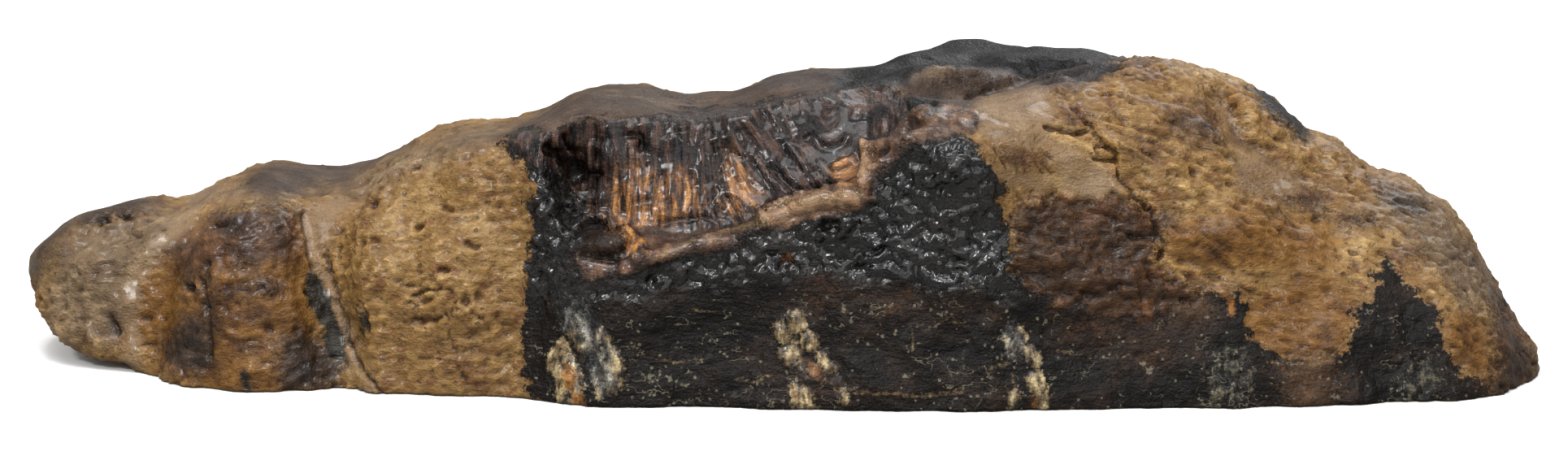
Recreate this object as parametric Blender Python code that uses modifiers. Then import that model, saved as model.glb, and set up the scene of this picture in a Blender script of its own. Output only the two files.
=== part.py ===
"""A slice of a fossil mammoth molar, lying on its sawn face.

The tooth was sawn along its length, so the slice has one flat face, which it rests on, and is
natural on every other side. The front is the worn chewing edge of the tooth, the top is the
side of the tooth, and the back is its broken root side.

X runs along the tooth, from the low end to the high end. Y runs from the chewing edge to the
root side. Z is up. The slice grew and fossilised as one piece, so it is one object.
"""

import math

import bmesh
import bpy
import numpy as np
from mathutils import Vector, noise

# Driving dimensions. Lengths are in millimetres until the finished mesh is scaled to metres.
MM = 0.001
STATIONS = 200
TIP_CROWDING = 0.55
AROUND = 110
SCULPT_VOXEL = 0.62
SOLID_TRIANGLES = 13300
NOISE_ORIGIN = Vector((17.3, 4.1, 9.7))

# Rails that the body is lofted along, as (x, value) pairs.
TOE_Y = (
    (-59.0, 20.4), (-58.2, 18.0), (-56.8, 16.0), (-54.0, 13.8), (-51.0, 12.4), (-48.0, 10.0),
    (-45.0, 7.6), (-41.0, 6.4), (-37.5, 6.0), (-34.0, 6.2), (-31.5, 5.2), (-28.0, 5.4),
    (-25.0, 5.0), (-20.0, 4.4), (-16.5, 2.4), (-13.0, 1.2), (-7.0, 1.6), (0.0, 0.8),
    (8.0, 0.0), (14.0, 0.0), (20.0, 0.6), (26.0, 0.9), (38.0, 1.4), (45.0, 2.4), (50.5, 3.6),
    (54.0, 5.8), (55.8, 8.6), (56.7, 10.8), (57.1, 13.0),
)
LEAN = (
    (-59.0, 0.0), (-57.6, 1.0), (-53.0, 4.5), (-48.0, 4.0), (-41.0, 3.6), (-34.0, 4.2),
    (-27.0, 5.4), (-20.0, 3.6), (-12.0, 4.4), (-4.0, 5.4), (4.0, 6.2), (10.0, 5.0),
    (17.0, 6.6), (23.0, 9.8), (30.0, 11.0), (36.0, 10.4), (45.0, 10.0), (52.0, 8.0),
    (56.0, 4.0), (57.1, 0.0),
)
SHOULDER_Z = (
    (-59.0, 6.8), (-58.2, 7.8), (-56.4, 8.9), (-53.0, 9.9), (-49.0, 9.8), (-46.0, 10.4),
    (-42.0, 12.6), (-38.6, 13.0), (-35.8, 12.0), (-33.0, 13.2), (-30.6, 14.4), (-27.6, 16.3),
    (-24.0, 17.4), (-20.0, 18.0), (-17.0, 19.0), (-12.5, 19.5), (-7.5, 19.6), (-2.3, 20.2),
    (2.0, 20.9), (8.0, 21.0), (14.0, 20.6), (18.0, 21.4), (23.0, 22.4), (28.0, 22.6),
    (31.5, 21.4), (34.0, 19.0), (38.0, 15.6), (45.0, 12.6), (49.5, 10.6), (52.0, 8.0),
    (54.5, 4.6), (56.2, 2.3), (57.1, 1.2),
)
CREST_Y = (
    (-59.0, 20.6), (-52.0, 19.0), (-42.0, 19.0), (-34.0, 16.0), (-27.0, 13.5), (-20.0, 14.5),
    (-12.0, 17.0), (4.0, 18.0), (9.0, 26.0), (14.0, 31.0), (22.0, 31.0), (25.5, 26.0),
    (28.6, 17.0), (36.0, 18.5), (46.0, 18.0), (53.0, 17.0), (57.1, 14.0),
)
CREST_Z = (
    (-59.0, 7.2), (-58.2, 8.1), (-56.4, 9.3), (-53.5, 10.5), (-50.5, 11.0), (-47.5, 10.7),
    (-44.5, 12.9), (-42.0, 14.0), (-39.3, 13.6), (-35.8, 12.9), (-32.6, 14.5), (-29.5, 16.2),
    (-26.4, 17.3), (-22.0, 17.8), (-20.0, 18.5), (-17.0, 20.2), (-12.5, 20.0), (-8.5, 19.1),
    (-4.0, 19.7), (0.5, 20.9), (5.0, 21.0), (9.0, 21.6), (13.5, 20.4), (19.0, 21.8),
    (24.0, 21.6), (26.5, 21.7), (28.6, 22.6), (31.5, 22.6), (34.0, 21.7), (36.6, 20.0),
    (39.4, 17.0), (42.5, 15.9), (45.0, 14.4), (47.5, 13.8), (49.6, 12.3), (51.2, 10.9),
    (52.2, 9.2), (54.0, 5.7), (55.4, 3.4), (56.4, 2.0), (57.1, 1.2),
)
REAR_Z = (
    (-59.0, 6.8), (-56.4, 8.4), (-50.0, 9.4), (-40.0, 11.4), (-30.0, 13.0), (-20.0, 15.2),
    (-10.0, 16.6), (4.0, 18.2), (16.0, 19.6), (24.0, 18.4), (34.0, 16.0), (44.0, 11.8),
    (51.0, 8.0), (55.0, 4.0), (57.1, 1.2),
)
BACK_Y = (
    (-59.0, 20.8), (-58.2, 24.4), (-56.2, 28.6), (-52.8, 32.0), (-48.0, 35.0), (-40.0, 38.6),
    (-30.0, 41.6), (-20.0, 43.4), (-8.0, 45.0), (6.0, 46.0), (18.0, 45.6), (28.0, 43.4),
    (38.0, 39.4), (46.0, 34.4), (51.6, 28.6), (55.2, 22.6), (56.6, 18.6), (57.1, 14.4),
)
UNDER_Z = (
    (-59.0, 6.2), (-58.4, 5.4), (-56.6, 2.8), (-53.5, 1.1), (-50.0, 0.2), (-46.5, -1.0),
    (-43.0, -2.0), (-38.0, -2.2), (48.0, -2.2), (53.0, -1.4), (55.6, -0.6), (57.0, 0.4),
    (57.1, 0.9),
)

# The section's corners, as shares of the rails: of the lean and the rise up the front, of the
# width and the rear's height down the back, and of the width and the rise under the middle.
FRONT_CORNERS = ((0.0, 0.0), (0.08, 0.38), (0.38, 0.74), (1.0, 1.0))
TOP_MIDDLE = 0.58
BACK_CORNERS = ((0.06, 0.72), (0.0, 0.34), (0.03, 0.0))
UNDER_MIDDLE = (0.5, 0.04)

# The enamel plates stand across the tooth. Each swells the side and the root edge over its centre.
PLATE_X = (-51.5, -39.5, -25.5, -12.0, 1.0, 13.5, 28.0, 40.5, 52.0)
PLATE_SWELL = 0.3
SIDE_Y = (11.0, 19.0)
ROOT_EDGE_SWELL = 0.9
ROOT_EDGE_Y = (32.0, 40.0)

# The hollow where part of a plate has broken out of the front, station by station: x, the
# height of the lip, the height and depth of the floor, and the height and depth of the top of
# the back wall.
HOLLOW = (
    (-19.2, 18.0, 18.2, 4.4, 19.8, 5.4),
    (-18.0, 16.4, 15.4, 6.6, 19.8, 7.4),
    (-16.6, 12.0, 12.6, 8.6, 19.8, 8.8),
    (-14.8, 9.6, 12.2, 8.0, 19.8, 9.0),
    (-12.2, 9.7, 12.2, 6.8, 20.0, 9.4),
    (-9.6, 10.7, 11.9, 6.2, 20.4, 9.4),
    (-6.6, 11.9, 12.0, 5.8, 20.8, 9.8),
    (-3.6, 12.6, 12.4, 5.4, 21.2, 9.8),
    (-1.8, 14.0, 12.9, 5.4, 21.4, 10.0),
    (0.6, 14.9, 14.2, 5.8, 21.8, 10.2),
    (3.6, 15.3, 15.4, 6.0, 22.2, 10.6),
    (5.4, 15.9, 16.6, 6.2, 22.4, 10.6),
    (6.2, 18.4, 17.6, 6.2, 22.4, 10.4),
    (8.2, 19.3, 19.2, 6.0, 22.4, 9.8),
    (9.2, 20.6, 20.3, 5.6, 22.0, 8.4),
    (11.0, 21.4, 21.2, 4.8, 21.8, 6.4),
)
HOLLOW_FRONT = -5.0
HOLLOW_OVER = 32.0
LIP_Y = 0.8
FLOOR_EASE = (1.2, 0.3)
WALL_BOW = 0.55
WALL_SLANT = 0.6

# Rounded scoops out of the broken root side: centre, then radii.
ROOT_SCOOPS = (
    ((-33.0, 44.0, 6.5), (3.2, 4.6, 6.0)),
    ((-18.5, 46.6, 9.5), (3.4, 4.6, 7.5)),
    ((-5.5, 48.0, 7.0), (2.8, 4.4, 8.5)),
    ((7.5, 49.4, 11.0), (3.0, 5.4, 8.0)),
    ((21.0, 47.4, 7.0), (3.4, 4.6, 7.5)),
    ((34.5, 43.0, 8.0), (3.0, 4.4, 6.5)),
)

# Swells: centre, radii, and the height that they stand out. A negative height is a dent.
SWELLS = (
    # The three lumps at the low end
    ((-53.0, 14.0, 7.5), (5.5, 8.0, 5.5), 0.6),
    ((-41.0, 7.0, 6.0), (5.0, 6.0, 8.0), 0.9),
    ((-25.5, 4.6, 8.0), (7.0, 6.0, 9.0), 1.3),
    ((-24.0, 8.0, 16.6), (5.0, 5.0, 3.6), 0.5),
    # Broken pieces on the floor of the hollow, at its left end
    ((-13.4, 4.0, 11.2), (2.2, 2.0, 1.2), 0.9),
    ((-10.6, 3.0, 10.8), (1.2, 1.6, 2.2), 0.6),
    # The proud wedge on the lip, the knob under it and its dimple
    ((2.6, 1.4, 15.0), (4.4, 2.2, 1.2), 0.8),
    ((2.8, 0.6, 13.4), (2.4, 2.2, 1.6), 1.0),
    ((3.4, -0.6, 13.2), (0.9, 1.6, 0.7), -0.7),
    ((-1.8, 0.8, 12.4), (3.2, 2.2, 1.4), 0.6),
    # The post and the shelf at the right end of the hollow
    ((6.2, 2.6, 18.2), (1.0, 2.4, 2.0), 0.7),
    ((9.0, 3.0, 19.6), (2.2, 2.0, 1.4), 0.5),
    # The black crust and the dark wear face under it
    ((13.0, 1.4, 16.6), (4.6, 3.0, 4.6), 0.9),
    ((16.0, 0.4, 9.0), (3.6, 2.4, 3.4), 0.5),
    # The high lump, its dark nodules, the torn edge and the golden dip
    ((25.0, 5.0, 18.6), (8.0, 7.0, 6.0), 0.7),
    ((22.0, 1.6, 9.4), (6.6, 3.0, 4.6), 0.8),
    ((33.0, 3.4, 12.6), (5.6, 3.0, 1.8), 0.9),
    ((36.5, 3.0, 7.2), (4.6, 3.0, 4.2), -0.8),
    ((45.0, 9.0, 13.0), (6.0, 5.0, 4.0), 0.6),
    ((49.0, 5.4, 5.0), (4.0, 4.0, 5.0), 0.5),
    # Knobs in the valley and on the far ridge
    ((9.8, 20.5, 21.2), (3.2, 2.6, 2.6), 0.8),
    ((13.2, 21.0, 21.4), (2.8, 2.4, 2.6), 0.9),
    ((17.6, 19.0, 21.4), (3.0, 2.2, 2.6), 0.7),
    ((12.5, 31.0, 22.4), (6.0, 4.4, 3.6), 0.3),
    ((21.0, 31.4, 22.0), (5.6, 4.4, 3.6), 0.5),
)

# Grooves: the points they pass through, their width at the surface, and their depth.
GROOVES = (
    # Between the first and the second lump
    (((-43.0, 17.0, 13.6), (-46.1, 12.5, 11.0), (-48.6, 11.4, 7.4), (-48.2, 10.6, 2.0)), 3.4, 1.5),
    # Between the second and the third lump
    (((-32.6, 15.0, 15.0), (-34.7, 10.0, 12.6), (-35.0, 7.6, 8.0), (-32.8, 6.4, 0.0)), 3.2, 1.7),
    # The smooth slanting dip down the right-hand slope
    (((32.0, 14.5, 22.2), (33.0, 11.0, 18.8), (35.4, 9.4, 16.4), (41.2, 8.0, 12.6)), 2.8, 1.5),
    # The valley in front of the far ridge
    (((6.5, 12.6, 21.8), (14.0, 16.0, 22.0), (19.0, 23.5, 22.4), (25.0, 22.6, 23.0)), 4.2, 1.9),
    # The crack in the pale face
    (((18.6, 6.8, 20.8), (21.6, 6.6, 20.0), (23.4, 5.8, 17.6), (26.6, 4.2, 14.2)), 0.9, 0.7),
    # The deep gap at the left end of the hollow
    (((-15.8, 8.2, 20.4), (-15.3, 9.4, 18.4), (-15.0, 9.0, 15.4)), 1.5, 1.9),
    # The dip under the torn edge of the cement
    (((27.8, 2.4, 10.8), (31.0, 2.6, 9.6), (34.0, 2.8, 10.0), (37.6, 3.4, 10.0)), 1.4, 0.5),
    # The edge of the third lump's cement, beside the black
    (((-19.2, 4.4, 17.0), (-18.6, 3.4, 11.0), (-19.0, 3.4, 4.0)), 1.1, 0.5),
)

# Rough skin: the height and the size of the lumps in each of two octaves.
BROAD_ROUGHNESS = (0.35, 6.5)
FINE_ROUGHNESS = (0.34, 2.3)


def rail(points, x):
    """Reads a rail at x, along the smooth curve through its points."""
    points = np.array(points, float)
    at, value = points[:, 0], points[:, 1]
    slope = np.gradient(value, at)
    i = int(np.clip(np.searchsorted(at, x) - 1, 0, len(at) - 2))
    gap = at[i + 1] - at[i]
    t = (x - at[i]) / gap
    ends = value[i] * (1 + 2 * t) * (1 - t) ** 2 + value[i + 1] * t * t * (3 - 2 * t)
    return ends + gap * t * (1 - t) * (slope[i] * (1 - t) - slope[i + 1] * t)


def closed_curve(corners, count):
    """Points on a smooth closed curve through the corners, spaced evenly along it."""
    corners = np.array(corners, float)
    t = np.linspace(0, 1, 12, endpoint=False)[:, None]
    runs = []
    for i in range(len(corners)):
        a, b, c, d = (corners[(i + k) % len(corners)] for k in (-1, 0, 1, 2))
        bend = t**2 * (a - 2.5 * b + 2 * c - 0.5 * d) + t**3 * (1.5 * (b - c) + 0.5 * (d - a))
        runs.append(b + 0.5 * t * (c - a) + bend)
    fine = np.concatenate([*runs, corners[:1]])
    along = np.concatenate([[0], np.cumsum(np.linalg.norm(np.diff(fine, axis=0), axis=1))])
    at = np.linspace(0, along[-1], count, endpoint=False)
    return [(np.interp(s, along, fine[:, 0]), np.interp(s, along, fine[:, 1])) for s in at]


def section(x):
    """The outline of the slice across the tooth at x, as (y, z) points."""
    toe, lean, back = rail(TOE_Y, x), rail(LEAN, x), rail(BACK_Y, x)
    under, shoulder = rail(UNDER_Z, x), rail(SHOULDER_Z, x)
    crest_y, crest_z, rear = rail(CREST_Y, x), rail(CREST_Z, x), rail(REAR_Z, x)
    rise, fall, width = shoulder - under, rear - under, back - toe
    corners = [(toe + out * lean, under + up * rise) for out, up in FRONT_CORNERS]
    corners.append((crest_y, crest_z))
    corners.append((crest_y + TOP_MIDDLE * (back - crest_y), 0.5 * (crest_z + rear)))
    corners += [(back - inset * width, under + up * fall) for inset, up in BACK_CORNERS]
    corners.append((toe + UNDER_MIDDLE[0] * width, under - UNDER_MIDDLE[1] * rise))
    return closed_curve(corners, AROUND)


def loft(name, rings):
    """A closed mesh through rings of points, with a flat face over each end."""
    shape = bmesh.new()
    rings = [[shape.verts.new(point) for point in ring] for ring in rings]
    count = len(rings[0])
    for near, far in zip(rings, rings[1:]):
        for i in range(count):
            j = (i + 1) % count
            shape.faces.new((near[i], near[j], far[j], far[i]))
    shape.faces.new(rings[0])
    shape.faces.new(rings[-1])
    bmesh.ops.recalc_face_normals(shape, faces=shape.faces)
    mesh = bpy.data.meshes.new(name)
    shape.to_mesh(mesh)
    shape.free()
    return mesh


def body_mesh():
    """The bare form of the slice, lofted along its length. Stations crowd towards the tips."""
    low_tip, high_tip = TOE_Y[0][0], TOE_Y[-1][0]
    crowded = np.cos(np.linspace(math.pi, 0, STATIONS))
    even = np.linspace(-1, 1, STATIONS)
    share = 0.5 + 0.5 * (TIP_CROWDING * crowded + (1 - TIP_CROWDING) * even)
    stations = low_tip + (high_tip - low_tip) * share
    return loft("slice_body", [[(x, y, z) for y, z in section(x)] for x in stations[1:-1]])


def hollow_mesh():
    """The space that the broken plate left: all that is over its lip and before its back wall."""
    rings = []
    for x, lip, floor, depth, wall_top, wall_depth in HOLLOW:
        outline = (
            (HOLLOW_FRONT, lip), (LIP_Y, lip),
            (depth - FLOOR_EASE[0], floor - FLOOR_EASE[1]), (depth, floor),
            (depth + WALL_BOW * (wall_depth - depth), 0.5 * (floor + wall_top)),
            (wall_depth, wall_top), (wall_depth + WALL_SLANT, HOLLOW_OVER),
            (HOLLOW_FRONT, HOLLOW_OVER),
        )
        rings.append([(x, y, z) for y, z in outline])
    return loft("hollow", rings)


def scoop_mesh(centre, radii):
    """A rounded scoop, as an ellipsoid."""
    ball = bmesh.new()
    bmesh.ops.create_icosphere(ball, subdivisions=4, radius=1.0)
    bmesh.ops.scale(ball, vec=radii, verts=ball.verts)
    bmesh.ops.translate(ball, vec=centre, verts=ball.verts)
    mesh = bpy.data.meshes.new("root_scoop")
    ball.to_mesh(mesh)
    ball.free()
    return mesh


def saw_mesh():
    """The block under the saw's path. Its top is the flat that the slice rests on."""
    reach, depth = 160.0, 20.0
    block = bmesh.new()
    bmesh.ops.create_cube(block, size=1.0)
    bmesh.ops.scale(block, vec=(reach, reach, depth), verts=block.verts)
    bmesh.ops.translate(block, vec=(0.0, 0.0, -0.5 * depth), verts=block.verts)
    mesh = bpy.data.meshes.new("saw_path")
    block.to_mesh(mesh)
    block.free()
    return mesh


def new_object(name, mesh, collection):
    """Links a mesh to a collection as an object."""
    obj = bpy.data.objects.new(name, mesh)
    collection.objects.link(obj)
    return obj


def cut_with(obj, name, mesh, cutters):
    """Cuts a mesh out of an object, with a Boolean that stays on it."""
    tool = new_object(name, mesh, cutters)
    tool.hide_render = True
    tool.display_type = "WIRE"
    cut = obj.modifiers.new(name, "BOOLEAN")
    cut.operation = "DIFFERENCE"
    cut.object = tool


def bake_modifiers(obj):
    """Turns what an object's modifiers make into its own mesh."""
    graph = bpy.context.evaluated_depsgraph_get()
    made = bpy.data.meshes.new_from_object(obj.evaluated_get(graph))
    obj.modifiers.clear()
    obj.data = made


def falloff(distance):
    """1 at a stroke's middle and 0 from its edge on, with no crease at either."""
    return np.clip(1 - distance**2, 0, None) ** 2


def distance_to_path(points, path):
    """How far each point is from a line through the path's corners."""
    path = np.array(path, float)
    nearest = np.full(len(points), np.inf)
    for start, end in zip(path, path[1:]):
        run = end - start
        share = np.clip((points - start) @ run / (run @ run), 0, 1)
        nearest = np.minimum(nearest, np.linalg.norm(points - start - share[:, None] * run, axis=1))
    return nearest


def roughness(points, height, size):
    """Smooth noise of that height, with lumps of about that size."""
    return height * np.array([noise.noise(Vector(p) / size + NOISE_ORIGIN) for p in points])


def plate_swell(points, normals):
    """The plates' own rise and fall, on the side of the tooth and its root edge."""
    phase = np.interp(points[:, 0], PLATE_X, np.arange(len(PLATE_X)))
    wave = np.cos(2 * math.pi * phase)
    side = np.interp(points[:, 1], SIDE_Y, (0, 1))
    root_edge = np.interp(points[:, 1], ROOT_EDGE_Y, (0, 1))
    not_under = np.clip(normals[:, 2] + 1.2, 0, 1)
    return wave * side * (PLATE_SWELL + ROOT_EDGE_SWELL * root_edge) * not_under


def read_mesh(mesh):
    """The points of a mesh and the directions in which its surface faces there."""
    points = np.empty(len(mesh.vertices) * 3)
    normals = np.empty(len(mesh.vertices) * 3)
    mesh.vertices.foreach_get("co", points)
    mesh.vertex_normals.foreach_get("vector", normals)
    return points.reshape(-1, 3), normals.reshape(-1, 3)


def sculpt(mesh):
    """Moves the surface in and out along its own normals, one kind of stroke after another."""
    points, normals = read_mesh(mesh)
    out = plate_swell(points, normals)
    for centre, radii, height in SWELLS:
        out += height * falloff(np.linalg.norm((points - centre) / radii, axis=1))
    for path, width, depth in GROOVES:
        out -= depth * falloff(distance_to_path(points, path) / width)
    out += roughness(points, *BROAD_ROUGHNESS) + roughness(points, *FINE_ROUGHNESS)
    points += normals * out[:, None]
    mesh.vertices.foreach_set("co", points.ravel())
    mesh.update()


def fossil_material():
    """Waxed fossil tooth: brown cement and dentine."""
    material = bpy.data.materials.new("fossil_tooth")
    material.use_nodes = True
    shader = material.node_tree.nodes["Principled BSDF"]
    shader.inputs["Base Color"].default_value = (0.24, 0.14, 0.07, 1.0)
    shader.inputs["Roughness"].default_value = 0.42
    shader.inputs["Metallic"].default_value = 0.0
    return material


def to_metres_at_origin(obj, cutters):
    """Scales all meshes to metres, with the origin at the middle of the slice's underside."""
    points, _ = read_mesh(obj.data)
    low, high = points.min(axis=0), points.max(axis=0)
    origin = np.array([(low[0] + high[0]) / 2, (low[1] + high[1]) / 2, low[2]])
    for mesh in (obj.data, *(tool.data for tool in cutters.objects)):
        points, _ = read_mesh(mesh)
        mesh.vertices.foreach_set("co", ((points - origin) * MM).ravel())
        mesh.update()


def build():
    """Makes the molar slice."""
    for old in list(bpy.data.objects):
        bpy.data.objects.remove(old)
    parts = bpy.data.collections.new("Mammoth molar slice")
    cutters = bpy.data.collections.new("Cutters")
    bpy.context.scene.collection.children.link(parts)
    bpy.context.scene.collection.children.link(cutters)

    tooth = new_object("molar_slice", body_mesh(), parts)
    cut_with(tooth, "hollow_cutter", hollow_mesh(), cutters)
    for number, (centre, radii) in enumerate(ROOT_SCOOPS, start=1):
        cut_with(tooth, f"root_scoop_cutter_{number}", scoop_mesh(centre, radii), cutters)
    skin = tooth.modifiers.new("even_skin", "REMESH")
    skin.mode = "VOXEL"
    skin.voxel_size = SCULPT_VOXEL
    bake_modifiers(tooth)
    sculpt(tooth.data)

    coarse = tooth.modifiers.new("fewer_faces", "DECIMATE")
    coarse.ratio = SOLID_TRIANGLES / (2 * len(tooth.data.polygons))
    cut_with(tooth, "saw_cutter", saw_mesh(), cutters)
    bpy.context.view_layer.update()
    bake_modifiers(tooth)
    to_metres_at_origin(tooth, cutters)
    tooth.data.materials.append(fossil_material())
    tooth.data.shade_smooth()


build()
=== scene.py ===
"""Looks of the fossil mammoth molar slice: its worn relief and colours, the floor, the light and the camera.

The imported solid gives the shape. It is copied, made fine where the photograph sees it, and worn in code:
fibrous cement, a black crust, a fluted hollow and the ends of the enamel plates. Lengths are in millimetres
until a mesh is written, and marks are placed in the photograph's own pixels.
"""

import logging
import math
from dataclasses import dataclass, field
from enum import Enum
from itertools import product

import bmesh
import bpy
import numpy as np
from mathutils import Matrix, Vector
from mathutils.bvhtree import BVHTree


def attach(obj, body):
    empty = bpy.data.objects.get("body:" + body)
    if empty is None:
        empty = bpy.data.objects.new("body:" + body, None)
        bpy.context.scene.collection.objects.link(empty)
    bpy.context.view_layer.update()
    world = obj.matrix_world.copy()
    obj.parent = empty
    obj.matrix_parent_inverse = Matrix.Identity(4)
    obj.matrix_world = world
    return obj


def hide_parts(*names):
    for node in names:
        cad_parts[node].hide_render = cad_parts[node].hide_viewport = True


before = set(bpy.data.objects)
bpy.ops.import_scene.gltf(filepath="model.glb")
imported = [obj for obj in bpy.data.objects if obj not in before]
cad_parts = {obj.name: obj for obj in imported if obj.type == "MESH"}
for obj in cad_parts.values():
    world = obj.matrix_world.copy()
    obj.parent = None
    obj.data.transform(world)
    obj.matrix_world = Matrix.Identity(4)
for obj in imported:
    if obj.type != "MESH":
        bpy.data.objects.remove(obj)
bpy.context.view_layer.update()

LOG = logging.getLogger("molar_slice")
MM = 0.001

Pixel = tuple[float, float]
Outline = tuple[Pixel, ...]
Colour = tuple[int, int, int]
Widths = float | tuple[float, float, float]
Socket = bpy.types.NodeSocket
Sockets = dict[str, Socket]
Feed = Socket | float | tuple[float, ...]


def smooth_step(value: np.ndarray, low: float, high: float) -> np.ndarray:
    """Eases value from 0 at low to 1 at high."""
    share = np.clip((value - low) / (high - low), 0.0, 1.0)
    return share * share * (3.0 - 2.0 * share)


def blend(first: np.ndarray, second: np.ndarray, share: np.ndarray) -> np.ndarray:
    """Goes from first to second as share goes from 0 to 1."""
    return first + (second - first) * share


def linear(colour: Colour) -> tuple[float, float, float, float]:
    """Turns a screen colour into Blender's linear colour, by the steps of the sRGB standard.

    Args:
        colour: red, green and blue, each from 0 to 255.

    Returns:
        Linear red, green, blue and full opacity.
    """
    shares = [c / 255.0 for c in colour]
    made = [s / 12.92 if s <= 0.04045 else ((s + 0.055) / 1.055) ** 2.4 for s in shares]
    return made[0], made[1], made[2], 1.0


class Zone(Enum):
    """The kinds of surface on the tooth. The value names the attribute that holds its reach on the mesh."""

    GOLD = "gold"
    STAIN = "stain"
    GREY = "grey"
    SOOT_AND_SHADE = "soot_and_shade"
    NODULE = "nodule"
    CORTEX = "cortex"
    PALE = "pale"
    DARK = "dark"
    CRUST = "crust"
    WALL = "wall"
    GLOW = "glow"
    RIM = "rim"
    BUFF = "buff"
    RIDGE = "ridge"
    GREEN = "green"
    ENAMEL = "enamel"
    CORE = "core"
    SPECKLE = "speckle"
    MIST = "mist"
    UMBER = "umber"
    AMBER = "amber"
    DUST = "dust"
    SEAM = "seam"


class GrainKind(Enum):
    """The patterns that a finish's tones can follow."""

    CLOUD = "cloud"
    CEMENT = "cement"
    VEIN = "vein"
    FLUTE = "flute"
    FINE = "fine"


@dataclass(frozen=True)
class PhotoEye:
    """Where the photograph was taken from, in the object's frame, in millimetres."""

    frame_width: int = 1929
    frame_height: int = 561
    elevation_deg: float = 11.0
    distance: float = 330.0
    target: tuple[float, float, float] = (0.6, -3.0, 9.48)
    lens: float = 97.7
    sensor: float = 36.0
    front_depth: float = 310.3
    least_facing: float = 0.06
    lift_off: float = 0.35

    def focal_pixels(self) -> float:
        """The focal length in pixels of the photograph."""
        return self.lens / self.sensor * self.frame_width

    def pixels_per_mm(self) -> float:
        """The photograph's scale on the front of the tooth."""
        return self.focal_pixels() / self.front_depth

    def axes(self) -> tuple[np.ndarray, np.ndarray, np.ndarray, np.ndarray]:
        """Works out the eye's place and its axes.

        Returns:
            The eye's place, then the directions to the right, up and ahead.
        """
        tilt = math.radians(self.elevation_deg)
        ahead = np.array([0.0, math.cos(tilt), -math.sin(tilt)])
        up = np.array([0.0, math.sin(tilt), math.cos(tilt)])
        right = np.array([1.0, 0.0, 0.0])
        return np.array(self.target) - ahead * self.distance, right, up, ahead

    def directions(self, points: np.ndarray) -> np.ndarray:
        """Finds the way from points to the eye.

        Args:
            points: places in millimetres, one row each.

        Returns:
            A direction of length 1 for each.
        """
        towards = self.axes()[0] - points
        return towards / np.linalg.norm(towards, axis=1)[:, None]

    def pixels(self, points: np.ndarray) -> np.ndarray:
        """Finds where points fall in the photograph.

        Args:
            points: places in millimetres, one row each.

        Returns:
            Pixel coordinates, one row each.
        """
        eye, right, up, ahead = self.axes()
        offset = points - eye
        scale = self.focal_pixels() / (offset @ ahead)
        across = self.frame_width / 2 + (offset @ right) * scale
        down = self.frame_height / 2 - (offset @ up) * scale
        return np.stack([across, down], axis=1)

    def sees(self, points: np.ndarray, normals: np.ndarray, tree: BVHTree) -> np.ndarray:
        """Finds which points of the surface the photograph shows.

        Args:
            points: places in millimetres.
            normals: the surface's direction at each.
            tree: the surface itself, to find what stands in front.

        Returns:
            1.0 where a point shows and 0.0 where it doesn't.
        """
        towards = self.directions(points)
        shown = np.einsum("ij,ij->i", towards, normals) > self.least_facing
        starts = points + (normals + towards) * self.lift_off / 2
        for i in np.nonzero(shown)[0]:
            if tree.ray_cast(Vector(starts[i]), Vector(towards[i]))[0] is not None:
                shown[i] = False
        return shown.astype(float)

    def place_camera(self) -> bpy.types.Object:
        """Adds the camera and makes it the scene's.

        Returns:
            The camera's object.
        """
        eye, _, _, ahead = self.axes()
        data = bpy.data.cameras.new("photo_camera")
        data.lens = self.lens
        data.sensor_width = self.sensor
        data.clip_start = 0.01
        camera = bpy.data.objects.new("photo_camera", data)
        camera.location = Vector(eye * MM)
        camera.rotation_mode = "QUATERNION"
        camera.rotation_quaternion = Vector(ahead).to_track_quat("-Z", "Y")
        bpy.context.scene.collection.objects.link(camera)
        bpy.context.scene.camera = camera
        return camera


EYE = PhotoEye()


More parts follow.
